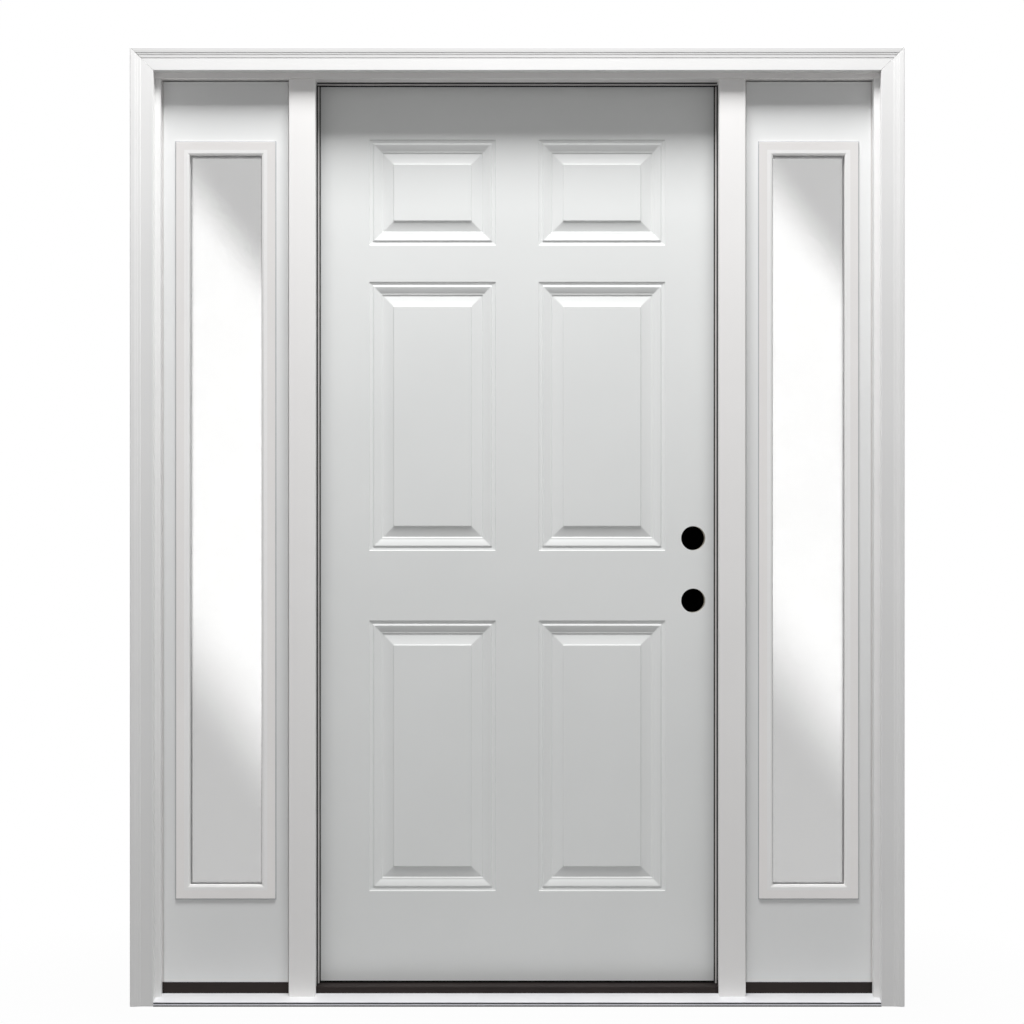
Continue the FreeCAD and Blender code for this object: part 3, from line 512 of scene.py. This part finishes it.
# %% Pressed sheet
SHEET, LATCH_BEVEL = 0.8, 2.3
BORE_X, BORE_Z, BORE_RADIUS, BORE_STEPS = 393.7, (889.2, 1028.9), 26.99, 96
skin_low, skin_high = box_mm("door_exterior_skin")
room_low, room_high = box_mm("door_interior_skin")
slab_foot, slab_top = skin_low[2], skin_high[2]
street_face, room_face = skin_low[1], room_high[1]
hinge_edge, latch_edge = room_low[0], room_high[0]
PANEL_X = ((-331.0, -48.0), (48.0, 331.0))
PANEL_RISE_HEIGHT = ((200.5, 604.5), (961.5, 601.0), (1644.5, 236.0))
PANEL_Z = [(slab_foot + rise, slab_foot + rise + height) for rise, height in PANEL_RISE_HEIGHT]


def pressed_sheet(name, node, face_y, towards, rim):
    """Six panel rings, their fields, and the flat between them inside rim, at face_y. The mouldings
    sink in the direction towards (1 for the street face, -1 for the room face)."""
    sunk_y = face_y + towards * press_depth
    rings = np.stack([ring_points(*x, *z, press_inset, sunk_y) for x in PANEL_X for z in PANEL_Z])
    panels, stations, lines = rings.shape[:3]
    firsts = np.arange(panels) * stations * lines
    ring_faces = (grid_faces(stations, lines, round_rows=True)[None] + firsts[:, None, None]).reshape(-1, 4)
    fields = firsts[:, None] + np.arange(stations) * lines + lines - 1
    outer_lines = [ring[:, 0][:, [0, 2]] for ring in rings]
    bores = [BORE_RADIUS * circle(BORE_STEPS) + (BORE_X, z) for z in BORE_Z]
    loops = [np.asarray(rim, float)] + outer_lines + bores
    starts = np.cumsum([0] + [len(loop) for loop in loops[:-1]])
    borders = [list(range(start, start + len(loop))) for loop, start in zip(loops, starts)]
    flat = geometry.delaunay_2d_cdt([Vector(p) for p in np.concatenate(loops)], [], borders, 1, 1e-5)
    flat_points = np.array([(p.x, face_y, p.y) for p in flat[0]])
    between = [face for face, inside in zip(flat[2], flat[5]) if list(inside) == [0]]
    flat_faces = np.array(between) + rings[..., 0].size
    ring_order, flat_order = (-1, 1) if towards > 0 else (1, -1)
    faces = ring_faces[:, ::ring_order].tolist()
    faces += fields[:, ::flat_order].tolist() + flat_faces[:, ::flat_order].tolist()
    points = np.concatenate([rings.reshape(-1, 3), flat_points])
    piece = put(name, points, faces, steel_paint, node, closed=False)
    sheet = piece.modifiers.new("sheet", "SOLIDIFY")
    sheet.thickness = SHEET * MM
    sheet.offset = -1.0
    return piece


def slab_rim(latch_x):
    """Corners of a sheet that ends at latch_x."""
    return [(hinge_edge, slab_foot), (latch_x, slab_foot), (latch_x, slab_top), (hinge_edge, slab_top)]


pressed_sheet("street_skin", "door_exterior_skin", street_face, 1, slab_rim(latch_edge - LATCH_BEVEL))
print("street face at", street_face)

# %% [markdown]
# The room side is the same pressing. Its edge is notched where the hinge leaves are let into the slab.

# %% Room-side sheet
LEAF_HALF, LEAF_LET_IN = 50.8, 2.4
BOTTOM_HINGE_RISE, TOP_HINGE_DROP = 330.0, 229.0
bottom_hinge, top_hinge = slab_foot + BOTTOM_HINGE_RISE, slab_top - TOP_HINGE_DROP
hinge_heights = np.array([bottom_hinge, (bottom_hinge + top_hinge) / 2, top_hinge])
notch = np.array([(0, LEAF_HALF), (LEAF_LET_IN, LEAF_HALF), (LEAF_LET_IN, -LEAF_HALF), (0, -LEAF_HALF)])
seats = np.stack([0 * hinge_heights + hinge_edge, hinge_heights], axis=1)[::-1]
notches = (notch + seats[:, None]).reshape(-1, 2).tolist()
pressed_sheet("room_skin", "door_interior_skin", room_face, -1, slab_rim(latch_edge) + notches)
print("room face at", room_face, "hinges at", np.round(hinge_heights, 1))

# %% [markdown]
# ## Sidelights
# Each sidelight is a flat primed panel with a tall opening, closed by an insulating glass unit between
# two plastic lite frames. The panel is loops of four corners: most keep one margin all round, and the
# opening's loops have their own.

# %% Sidelight panels
PANEL_EASE, PANEL_MARGIN, LITE_LAP = 1.5, 5.0, 20.0
EDGE_STEPS = 5


def panel_board(name, node, lite_node):
    """Loop j has the corners of the panel's box drawn in by its margins, at depth y_j: the opening's
    edge, the street face, a rounded edge, the room face and the opening's other edge, closed through
    the opening's wall."""
    low, high = box_mm(node)
    lite_low, lite_high = box_mm(lite_node)
    angle = np.linspace(0.0, math.pi / 2, EDGE_STEPS)
    edge, sink = PANEL_EASE * (1 - np.sin(angle)), PANEL_EASE * (1 - np.cos(angle))
    margin = np.concatenate([[PANEL_MARGIN], edge, edge[::-1], [PANEL_MARGIN]])
    y = np.concatenate([[low[1]] * 2, low[1] + sink, high[1] - sink[::-1], [high[1]] * 2])
    open_low, open_high = lite_low + LITE_LAP - low, high - lite_high + LITE_LAP
    x0, z0 = (low[k] + np.pad(margin, 1, constant_values=open_low[k]) for k in (0, 2))
    x1, z1 = (high[k] - np.pad(margin, 1, constant_values=open_high[k]) for k in (0, 2))
    corners = ((x0, z0), (x1, z0), (x1, z1), (x0, z1))
    points = np.stack([np.stack([x, y, z], axis=1) for x, z in corners], axis=1)
    return put(name, points, grid_faces(len(y), len(corners), True, True), panel_paint, node)


for name in ("left", "right"):
    panel_board(f"{name}_panel_board", f"{name}_sidelight_panel", f"{name}_exterior_lite_frame")
panel_low, panel_high = box_mm("right_sidelight_panel")
print("right panel", np.round(panel_low, 1), np.round(panel_high, 1))

# %% [markdown]
# A lite frame is a flat band and a bead next to the glass, bedded on grey tape that shows as a fine
# line outside it; the tape's grey is also painted shade for that line. Each is a section of (inset,
# height over the panel's face), carried round on both sides of the panel.

# %% Lite frames
LITE_RISE, LITE_HOLD = 4.2, 2.0
lite_tape = outline([(0, 0), (0, 0.6), (0.3, 0.9), (4, 0.9), (4, 0)])
lite_band = outline([(2, 0.4), (2, 3.9), (2.3, LITE_RISE, 0.1), (19.9, LITE_RISE), (19.9, 0.4)])
lite_bead = outline([
    (19.9, 0.4), (19.9, LITE_RISE), (27.5, LITE_RISE), (31.4, 2.7), (32, 2.1, 0.15), (32, -6.9),
    (32.9, -7.3), (32.9, -8), (21, -8), (21, 0.4),
])
lite_parts = (
    ("band", lite_band, 0.8, lite_plastic, "lite_frame"),
    ("bead", lite_bead, 0.5, bead_plastic, "lite_frame"),
    ("tape", lite_tape, 0.8, tape_and_shade_grey, "seal"),
)
for name in ("left", "right"):
    low, high = box_mm(f"{name}_exterior_lite_frame")
    for place, face_y, out in (("exterior", panel_low[1], -1), ("interior", panel_high[1], 1)):
        for part, section, turn, material, slot in lite_parts:
            inset, y = section[:, 0], face_y + out * section[:, 1]
            ring = ring_points(low[0], high[0], low[2], high[2], inset, y, turn, LITE_HOLD)
            faces = grid_faces(*ring.shape[:2], True, True)
            stands_for = [f"{name}_{place}_lite_frame"] if part == "band" else []
            put(f"{name}_{place}_lite_{part}", ring, faces, material, *stands_for, body="frame", slot=slot)
print("lite frames", np.round(low, 1), np.round(high, 1))

# %% [markdown]
# The gaps between a panel and its jamb or post are closed by caulk, with a hollow face.

# %% Caulk
CAULK_BACK, CAULK_HOLLOW = 45.0, -0.4
gaps = (("jamb", panel_high[0], jamb_face, 28.6), ("post", mull_outer, panel_low[0], 33.6))
for side, name in SIDES:
    for place, x0, x1, front in gaps:
        section = outline([(x0, front), (x1, front, CAULK_HOLLOW), (x1, CAULK_BACK), (x0, CAULK_BACK)])
        path = [(panel_end[2] * Z, side * X, Y) for panel_end in (panel_low, panel_high)]
        length(f"{name}_{place}_caulk", section, *path, pale_foam, body="frame", slot="seal",
               ease=THIN_EASE)
print("caulk in", len(SIDES) * len(gaps), "gaps")

# %% [markdown]
# ## Weatherstrip
# Round the slab runs a compression strip: a dark carrier seated in the stop's kerf and a pale foam
# bulb. The carrier's black also stands in for the shade in the gaps beside the bulb, and a thin dark
# film that lies on the stop is painted shade over its reveal. Seen from the street it is a light line
# between two dark ones.

# %% Weatherstrip
CARRIER_EASE = 0.4
BULB_MIDDLE, BULB_HALF, BULB_STEPS = (2.3, 66.2), (2.1, 2.4), 28
# LIP and the lip fronts size the thin dark film of painted shade on the stop.
LIP, LIP_BACK, SIDE_LIP_FRONT, HEAD_LIP_FRONT = 0.5, 64.5, 36.0, 53.0
carrier_corners = [(-12.45, STOP), (-0.3, STOP), (0.8, 66.4), (7.0, 66.4), (7.0, 71.05), (-12.45, 71.05)]
carrier = outline(eased(carrier_corners, CARRIER_EASE))
bulb = np.array(BULB_MIDDLE) + np.array(BULB_HALF) * circle(BULB_STEPS)
seal_low, seal_high = box_mm("latch_weatherstrip")
seal_foot, seal_top, head_reach = seal_low[2] * Z, seal_high[2] * Z, box_mm("head_weatherstrip")[1][0] * X
for name, across, start, end, lip_front in (
    ("latch", -X, stop_half * X + seal_foot, stop_half * X + seal_top, SIDE_LIP_FRONT),
    ("hinge", X, -stop_half * X + seal_foot, -stop_half * X + seal_top, SIDE_LIP_FRONT),
    ("head", -Z, -head_reach + jamb_top * Z, head_reach + jamb_top * Z, HEAD_LIP_FRONT),
):
    path = ((start, across, Y), (end, across, Y))
    # A thin dark film laid on the stop: painted shade, which darkens the reveal beside the bulb.
    lip = outline([(0.0, lip_front), (LIP, lip_front), (LIP, LIP_BACK), (0.0, LIP_BACK)])
    # The carrier's black also stands in for the shade in the gaps beside the bulb.
    length(f"{name}_seal_carrier", carrier, *path, dark_rubber, f"{name}_weatherstrip")
    length(f"{name}_seal_bulb", bulb, *path, pale_foam, body="frame", slot="seal")
    length(f"{name}_seal_shade_film", lip, *path, dark_rubber, body="frame", slot="seal", ease=THIN_EASE)
print("weatherstrip from", seal_low[2], "to", seal_high[2])

# %% [markdown]
# ## The sill
# The deck is an aluminium extrusion. Its plate slopes to a round lip that overhangs a groove, and a
# short front wall stands below on an undercut foot; the wall is a darker copy of the aluminium, painted
# shade for the face under the lip. In front of the jambs it is a little wider than between them, so the
# plate is two lengths that meet in one plane. A dark grey strip in the groove is painted shade that
# darkens the groove's line, and a dark bead in the undercut of the foot is painted shade along the
# foot's lower edge.

# %% Sections of the sill
DECK, LIP_ROUND, STRIP_EASE = 1.8, 0.9, 0.25
WALL_BACK, GROOVE_BACK, SLOPE_END, DECK_BACK = -21.0, -23.0, 26.0, 48.0
deck_low, deck_high = box_mm("sill_deck")


def deck_top(y):
    """Height of the sloping plate's upper face."""
    return NOSE_TOP + DECK_SLOPE * (y - deck_low[1])


def deck_under(y):
    """Height of the sloping plate's lower face."""
    return deck_top(y) - DECK


lip_y, lip_under = deck_low[1] + LIP_ROUND, NOSE_TOP - DECK
front_plate = outline([(WALL_BACK, deck_under(WALL_BACK)), (0, deck_under(0)), (0, deck_top(0)),
                       (lip_y, deck_top(lip_y)), (lip_y, lip_under, -LIP_ROUND)])
back_under, back_top = deck_under(SLOPE_END), deck_top(SLOPE_END)
back_plate = outline([(0, deck_under(0)), (SLOPE_END, back_under), (DECK_BACK, back_under),
                      (DECK_BACK, back_top), (SLOPE_END, back_top), (0, deck_top(0))])
front_wall = outline([
    (-24, 0), (WALL_BACK, 0), (WALL_BACK, deck_under(WALL_BACK)), (GROOVE_BACK, lip_under),
    (GROOVE_BACK, 4.8), (-25.6, 4.8), (-26, 4.4, -0.12), (-26, 1.8), (-25.6, 1.4, -0.12), (-24, 1.4),
])
# The strip in the groove is painted shade: a dark grey strip that makes the groove read dark.
groove_corners = [(-24.6, 4.8), (GROOVE_BACK, 4.8), (GROOVE_BACK, lip_under), (-24.6, lip_under)]
groove_shade_strip = outline(eased(groove_corners, STRIP_EASE))
# The bead at the foot is painted shade: a dark strip along the foot's lower edge.
foot_shade_bead = outline([(-30.6, 0.1, -0.3), (-24, 0.1), (-24, 1.4), (-26.2, 1.8)])
print("deck", np.round(deck_low, 1), np.round(deck_high, 1))

# %% Deck, front wall and strips
wide_path = ((deck_low[0] * X, Y, Z), (deck_high[0] * X, Y, Z))
narrow_path = ((-jamb_face * X, Y, Z), (jamb_face * X, Y, Z))
length("deck_front_plate", front_plate, *wide_path, mill_aluminium, "sill_deck", ease=THIN_EASE)
for name, section, path, material, slot in (
    ("deck_back_plate", back_plate, narrow_path, mill_aluminium, "sill_aluminium"),
    ("nose_wall", front_wall, wide_path, shaded_wall_aluminium, "sill_aluminium"),
    ("nose_groove_strip", groove_shade_strip, wide_path, groove_shade_vinyl, "seal"),
    ("nose_foot_strip", foot_shade_bead, wide_path, dark_rubber, "seal"),
):
    length(name, section, *path, material, body="frame", slot=slot, ease=THIN_EASE)
print("sill from", round(deck_low[0], 1), "to", round(deck_high[0], 1))

# %% [markdown]
# ## Screws
# Each hinge leaf is held by four screws, and the lite frames are screwed together from the room, under
# plugs. A head is a flat dome over polar coordinates, and a screw's dome is pressed in along a cross.

# %% Heads of the hinge screws
HEAD_RINGS, HEAD_SPOKES, HEAD_MIDDLE, HEAD_EDGE = 12, 40, 0.05, 0.05
ARM_HALF, ARM_SOFT, ARM_REACH, REACH_SOFT = 0.7, 0.12, 2.4, 0.15


def heads(name, places, normal, across, material, body, slot, radius=4.3, rise=0.4, cross=0.85):
    """Point (r, a) = place + r cos a U + r sin a V + h N. Above a low edge, the height h is
    rise (1 - (r / radius)^2) (1 - cross w). The weight w is near 1 within the arms of a cross and
    falls to 0 outside them."""
    spokes = np.linspace(0, 2 * math.pi, HEAD_SPOKES, endpoint=False)
    r, a = np.meshgrid(np.linspace(HEAD_MIDDLE, radius, HEAD_RINGS), spokes, indexing="ij")
    u, v = r * np.cos(a), r * np.sin(a)
    narrow, wide = np.minimum(abs(u), abs(v)), np.maximum(abs(u), abs(v))
    arms = 1 / (1 + np.exp((narrow - ARM_HALF) / ARM_SOFT)) / (1 + np.exp((wide - ARM_REACH) / REACH_SOFT))
    h = HEAD_EDGE + rise * (1 - (r / radius) ** 2) * (1 - cross * arms)
    up = np.cross(normal, across)
    dome = u[..., None] * across + v[..., None] * up + h[..., None] * normal
    rim = (u[-1][:, None] * across + v[-1][:, None] * up)[None]
    head = np.concatenate([dome, rim]).reshape(-1, 3)
    points = np.asarray(places, float)[:, None] + head[None]
    firsts = np.arange(len(places)) * len(head)
    sides = grid_faces(HEAD_RINGS + 1, HEAD_SPOKES, round_columns=True)
    faces = (sides[None] + firsts[:, None, None]).reshape(-1, 4).tolist()
    middles = firsts[:, None] + np.arange(HEAD_SPOKES)
    undersides = middles + r.size
    return put(name, points, faces + middles.tolist() + undersides.tolist(), material, body=body, slot=slot)


screw_rows = np.array([(93.0, -36.0), (104.0, -12.5), (104.0, 12.5), (93.0, 36.0)])
screw_y = np.tile(screw_rows[:, 0], len(hinge_heights))
screw_z = (hinge_heights[:, None] + screw_rows[:, 1]).ravel()
jamb_screws, door_screws = (
    np.stack([0 * screw_y + x, screw_y, screw_z], axis=1) for x in (-stop_half - RABBET, hinge_edge))
heads("jamb_hinge_screws", jamb_screws, X, Y, hinge_metal, "frame", "hinge_metal")
heads("door_hinge_screws", door_screws, -X, -Y, hinge_metal, "door", "hinge_metal")
print("screws", len(jamb_screws) + len(door_screws))

# %% Plugs of the lite frames
PLUG_END, PLUG_INSET, PLUG_ROWS, PLUG_RADIUS = 90.0, 11.0, 7, 5.0
for name in ("left", "right"):
    low, high = box_mm(f"{name}_interior_lite_frame")
    plug_x = np.repeat([low[0] + PLUG_INSET, high[0] - PLUG_INSET], PLUG_ROWS)
    plug_z = np.tile(np.linspace(low[2] + PLUG_END, high[2] - PLUG_END, PLUG_ROWS), 2)
    plugs = np.stack([plug_x, 0 * plug_x + panel_high[1] + LITE_RISE, plug_z], axis=1)
    heads(f"{name}_lite_plugs", plugs, Y, X, bead_plastic, "frame", "lite_frame", radius=PLUG_RADIUS,
          cross=0.0)
print("plugs", 2 * len(plugs))

# %% [markdown]
# ## Pieces that keep their CAD shape
# Glass panes, spacers, hinge leaves, the slab's wooden edges, the posts and the threshold are right as
# they are. They only change their finish.


# %% Finishes on CAD nodes
def dress(material, *nodes):
    """Gives the material to every slot of the nodes' objects."""
    for node in nodes:
        for slot in frame["nodes"][node].material_slots:
            slot.material = material


def both(name):
    """The left and the right node of a pair."""
    return f"left_{name}", f"right_{name}"


dress(pane_glass, *both("outer_pane"), *both("inner_pane"))
dress(spacer_grey, *both("glass_spacer"))
dress(upright_paint, *both("mull_post"), *both("sidelight_stops"))
dress(brown_composite, "sill_base", "threshold_cap", *both("sidelight_sill_block"))
dress(hinge_metal, "hinge_jamb_leaves", "hinge_door_leaves")
dress(raw_pine, "door_hinge_stile", "door_upper_latch_stile", "door_lower_latch_stile", "door_lock_block",
      "door_top_block", "door_bottom_block")
dress(core_foam, "door_core")
dress(dark_rubber, "door_sweep")
print("dressed", sum(node.visible_get() for node in frame["nodes"].values()), "nodes")

# %% [markdown]
# ## Light
# One large soft lamp hangs high in front, as in a studio, so that light falls off down the slab and the
# head throws a soft shadow. The world fills in evenly. To the camera and in reflections the world is
# plain white.

# %% Lamp
KEY_PLACE, KEY_AIM = (0.0, -1.3, 4.38), (0.0, 0.0, 2.0)
KEY_WIDTH, KEY_DEPTH, KEY_POWER = 2.4, 0.95, 138.0
key_lamp = bpy.data.lights.new("key_lamp", "AREA")
key_lamp.shape, key_lamp.energy = "RECTANGLE", KEY_POWER
key_lamp.size, key_lamp.size_y = KEY_WIDTH, KEY_DEPTH
key = bpy.data.objects.new("key_lamp", key_lamp)
key.location = KEY_PLACE
key.rotation_euler = (Vector(KEY_AIM) - key.location).to_track_quat("-Z", "Y").to_euler()
scene.collection.objects.link(key)
print("key lamp", KEY_POWER, "W")

# %% World
FILL_LEVEL, SEEN_LEVEL = 0.33, 1.0


def seen_rays(nodes, links):
    """Socket that is 1 for rays from the camera, off a glossy surface or through glass, and 0 for all
    others."""
    ray, sharp, seen = add_nodes(nodes, "LightPath", "Math", "Math")
    sharp.operation = seen.operation = "MAXIMUM"
    links.new(ray.outputs["Is Camera Ray"], sharp.inputs[0])
    links.new(ray.outputs["Is Glossy Ray"], sharp.inputs[1])
    links.new(sharp.outputs[0], seen.inputs[0])
    links.new(ray.outputs["Is Transmission Ray"], seen.inputs[1])
    return seen.outputs[0]


world = bpy.data.worlds.new("studio")
world.use_nodes = True
scene.world = world
nodes, links = world.node_tree.nodes, world.node_tree.links
level = nodes.new("ShaderNodeMapRange")
set_span(level, "To", (FILL_LEVEL, SEEN_LEVEL))
links.new(seen_rays(nodes, links), level.inputs["Value"])
links.new(level.outputs["Result"], nodes["Background"].inputs["Strength"])
nodes["Background"].inputs["Color"].default_value = (1.0, 1.0, 1.0, 1.0)
print("world", FILL_LEVEL, SEEN_LEVEL)

# %% [markdown]
# The floor is grey to the light, so that little of it comes back onto the unit. The camera sees it
# nearly white: a small share of its shading is left near the unit, as a faint shadow, and further off
# it is plain white, so that it runs into the background without a line. Rays that come through glass or
# off metal see the same floor.

# %% Finish of the floor
FLOOR_TONE, FLOOR_ROUGH = 0.3, 0.9
WHITE_FROM, WHITE_SHARE = (0.9, 1.6), (0.975, 1.0)
floor_paint = bpy.data.materials.new("studio_floor")
floor_paint.use_nodes = True
nodes, links = floor_paint.node_tree.nodes, floor_paint.node_tree.links
nodes["Principled BSDF"].inputs["Base Color"].default_value = (FLOOR_TONE, FLOOR_TONE, FLOOR_TONE, 1.0)
nodes["Principled BSDF"].inputs["Roughness"].default_value = FLOOR_ROUGH
place, away, white = add_nodes(nodes, "TexCoord", "VectorMath", "MapRange")
share, glow, mix = add_nodes(nodes, "Math", "Emission", "MixShader")
away.operation, share.operation = "LENGTH", "MULTIPLY"
set_span(white, "From", WHITE_FROM)
set_span(white, "To", WHITE_SHARE)
links.new(place.outputs["Object"], away.inputs[0])
links.new(away.outputs["Value"], white.inputs["Value"])
links.new(seen_rays(nodes, links), share.inputs[0])
links.new(white.outputs["Result"], share.inputs[1])
links.new(share.outputs[0], mix.inputs["Fac"])
links.new(nodes["Principled BSDF"].outputs["BSDF"], mix.inputs[1])
links.new(glow.outputs["Emission"], mix.inputs[2])
links.new(mix.outputs["Shader"], nodes["Material Output"].inputs["Surface"])
print("floor finish", floor_paint.name)

# %% Floor
FLOOR_HALF, FLOOR_DROP = 9.0, 0.0005


def stage_object(name, points, faces, material):
    """Object of the studio, made from points in metres."""
    mesh = bpy.data.meshes.new(name)
    mesh.from_pydata(points, [], faces)
    mesh.materials.append(material)
    stage_piece = bpy.data.objects.new(name, mesh)
    scene.collection.objects.link(stage_piece)
    return stage_piece


floor_corners = [(x * FLOOR_HALF, y * FLOOR_HALF, 0) for x, y in ((-1, -1), (1, -1), (1, 1), (-1, 1))]
floor = stage_object("studio_floor", floor_corners, [(0, 1, 2, 3)], floor_paint)
floor.location.z = -FLOOR_DROP
print("floor", floor.name)

# %% [markdown]
# Two slanted white cards stand in front of the unit, beside the camera's view. They show only in
# reflections, as the bright band that crosses each pane. Their brightness fades towards the upper and
# the lower edge, as a soft box does.

# %% Finish of the cards
CARD_FADE = ((0.0, 1.0), (0.27, 5.7), (0.85, 5.7), (1.0, 1.0))
card_paint = bpy.data.materials.new("reflection_card")
card_paint.use_nodes = True
nodes, links = card_paint.node_tree.nodes, card_paint.node_tree.links
unwrap, split, fade, shine = add_nodes(nodes, "UVMap", "SeparateXYZ", "ValToRGB", "Emission")
ramp = fade.color_ramp
ramp.interpolation = "EASE"
ramp.elements[1].position = CARD_FADE[1][0]
for where, _ in CARD_FADE[2:]:
    ramp.elements.new(where)
for end, (_, value) in zip(ramp.elements, CARD_FADE):
    end.color = (value, value, value, 1.0)
links.new(unwrap.outputs["UV"], split.inputs["Vector"])
links.new(split.outputs["Y"], fade.inputs["Fac"])
links.new(fade.outputs["Color"], shine.inputs["Color"])
links.new(shine.outputs["Emission"], nodes["Material Output"].inputs["Surface"])
print("card finish", card_paint.name)

# %% Reflection cards
CARD_Y, CARD_NEAR, CARD_FAR = -3.0, 0.858, 1.13
CARD_LEFT_EDGE, CARD_RIGHT_EDGE = (0.37, 2.4), (0.01, 2.04)
for name, x0, x1 in (("left", -CARD_FAR, -CARD_NEAR), ("right", CARD_NEAR, CARD_FAR)):
    (foot0, top0), (foot1, top1) = CARD_LEFT_EDGE, CARD_RIGHT_EDGE
    corners = [(x0, CARD_Y, foot0), (x1, CARD_Y, foot1), (x1, CARD_Y, top1), (x0, CARD_Y, top0)]
    card = stage_object(f"{name}_card", corners, [(0, 3, 2, 1)], card_paint)
    height_map = card.data.uv_layers.new(name="height")
    height_map.data.foreach_set("uv", np.array([0, 0, 0, 1, 1, 1, 1, 0], float))
    card.visible_camera = card.visible_diffuse = card.visible_shadow = False
print("cards at", CARD_Y)

# %% [markdown]
# In the photograph the two lock bores are black, as if dark card was held behind them. Two small black
# cards do that here. They follow the door but aren't part of it, and they can only be seen from the
# street side.

# %% Cards behind the lock bores
BORE_CARD_RADIUS, BORE_CARD_STEPS, BORE_CARD_GAP, BORE_CARD_TONE = 30.0, 48, 1.5, 0.002
bore_black = bpy.data.materials.new("bore_card")
bore_black.use_nodes = True
nodes, links = bore_black.node_tree.nodes, bore_black.node_tree.links
clear, facing, choose = add_nodes(nodes, "BsdfTransparent", "NewGeometry", "MixShader")
black = nodes["Principled BSDF"]
black.inputs["Base Color"].default_value = (BORE_CARD_TONE, BORE_CARD_TONE, BORE_CARD_TONE, 1.0)
black.inputs["Specular IOR Level"].default_value = 0.0
links.new(facing.outputs["Backfacing"], choose.inputs["Fac"])
links.new(black.outputs["BSDF"], choose.inputs[1])
links.new(clear.outputs["BSDF"], choose.inputs[2])
links.new(choose.outputs["Shader"], nodes["Material Output"].inputs["Surface"])
across, up = BORE_CARD_RADIUS * circle(BORE_CARD_STEPS).T
disc_face = list(range(BORE_CARD_STEPS))
for name, z in zip(("handle", "deadbolt"), BORE_Z):
    disc = np.stack([BORE_X + across, 0 * across + room_face + BORE_CARD_GAP, z + up], axis=1)
    bore_card = stage_object(f"{name}_bore_card", (disc * MM).tolist(), [disc_face], bore_black)
    bore_card.visible_shadow = False
    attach(bore_card, "door")
print("bore cards", BORE_Z)
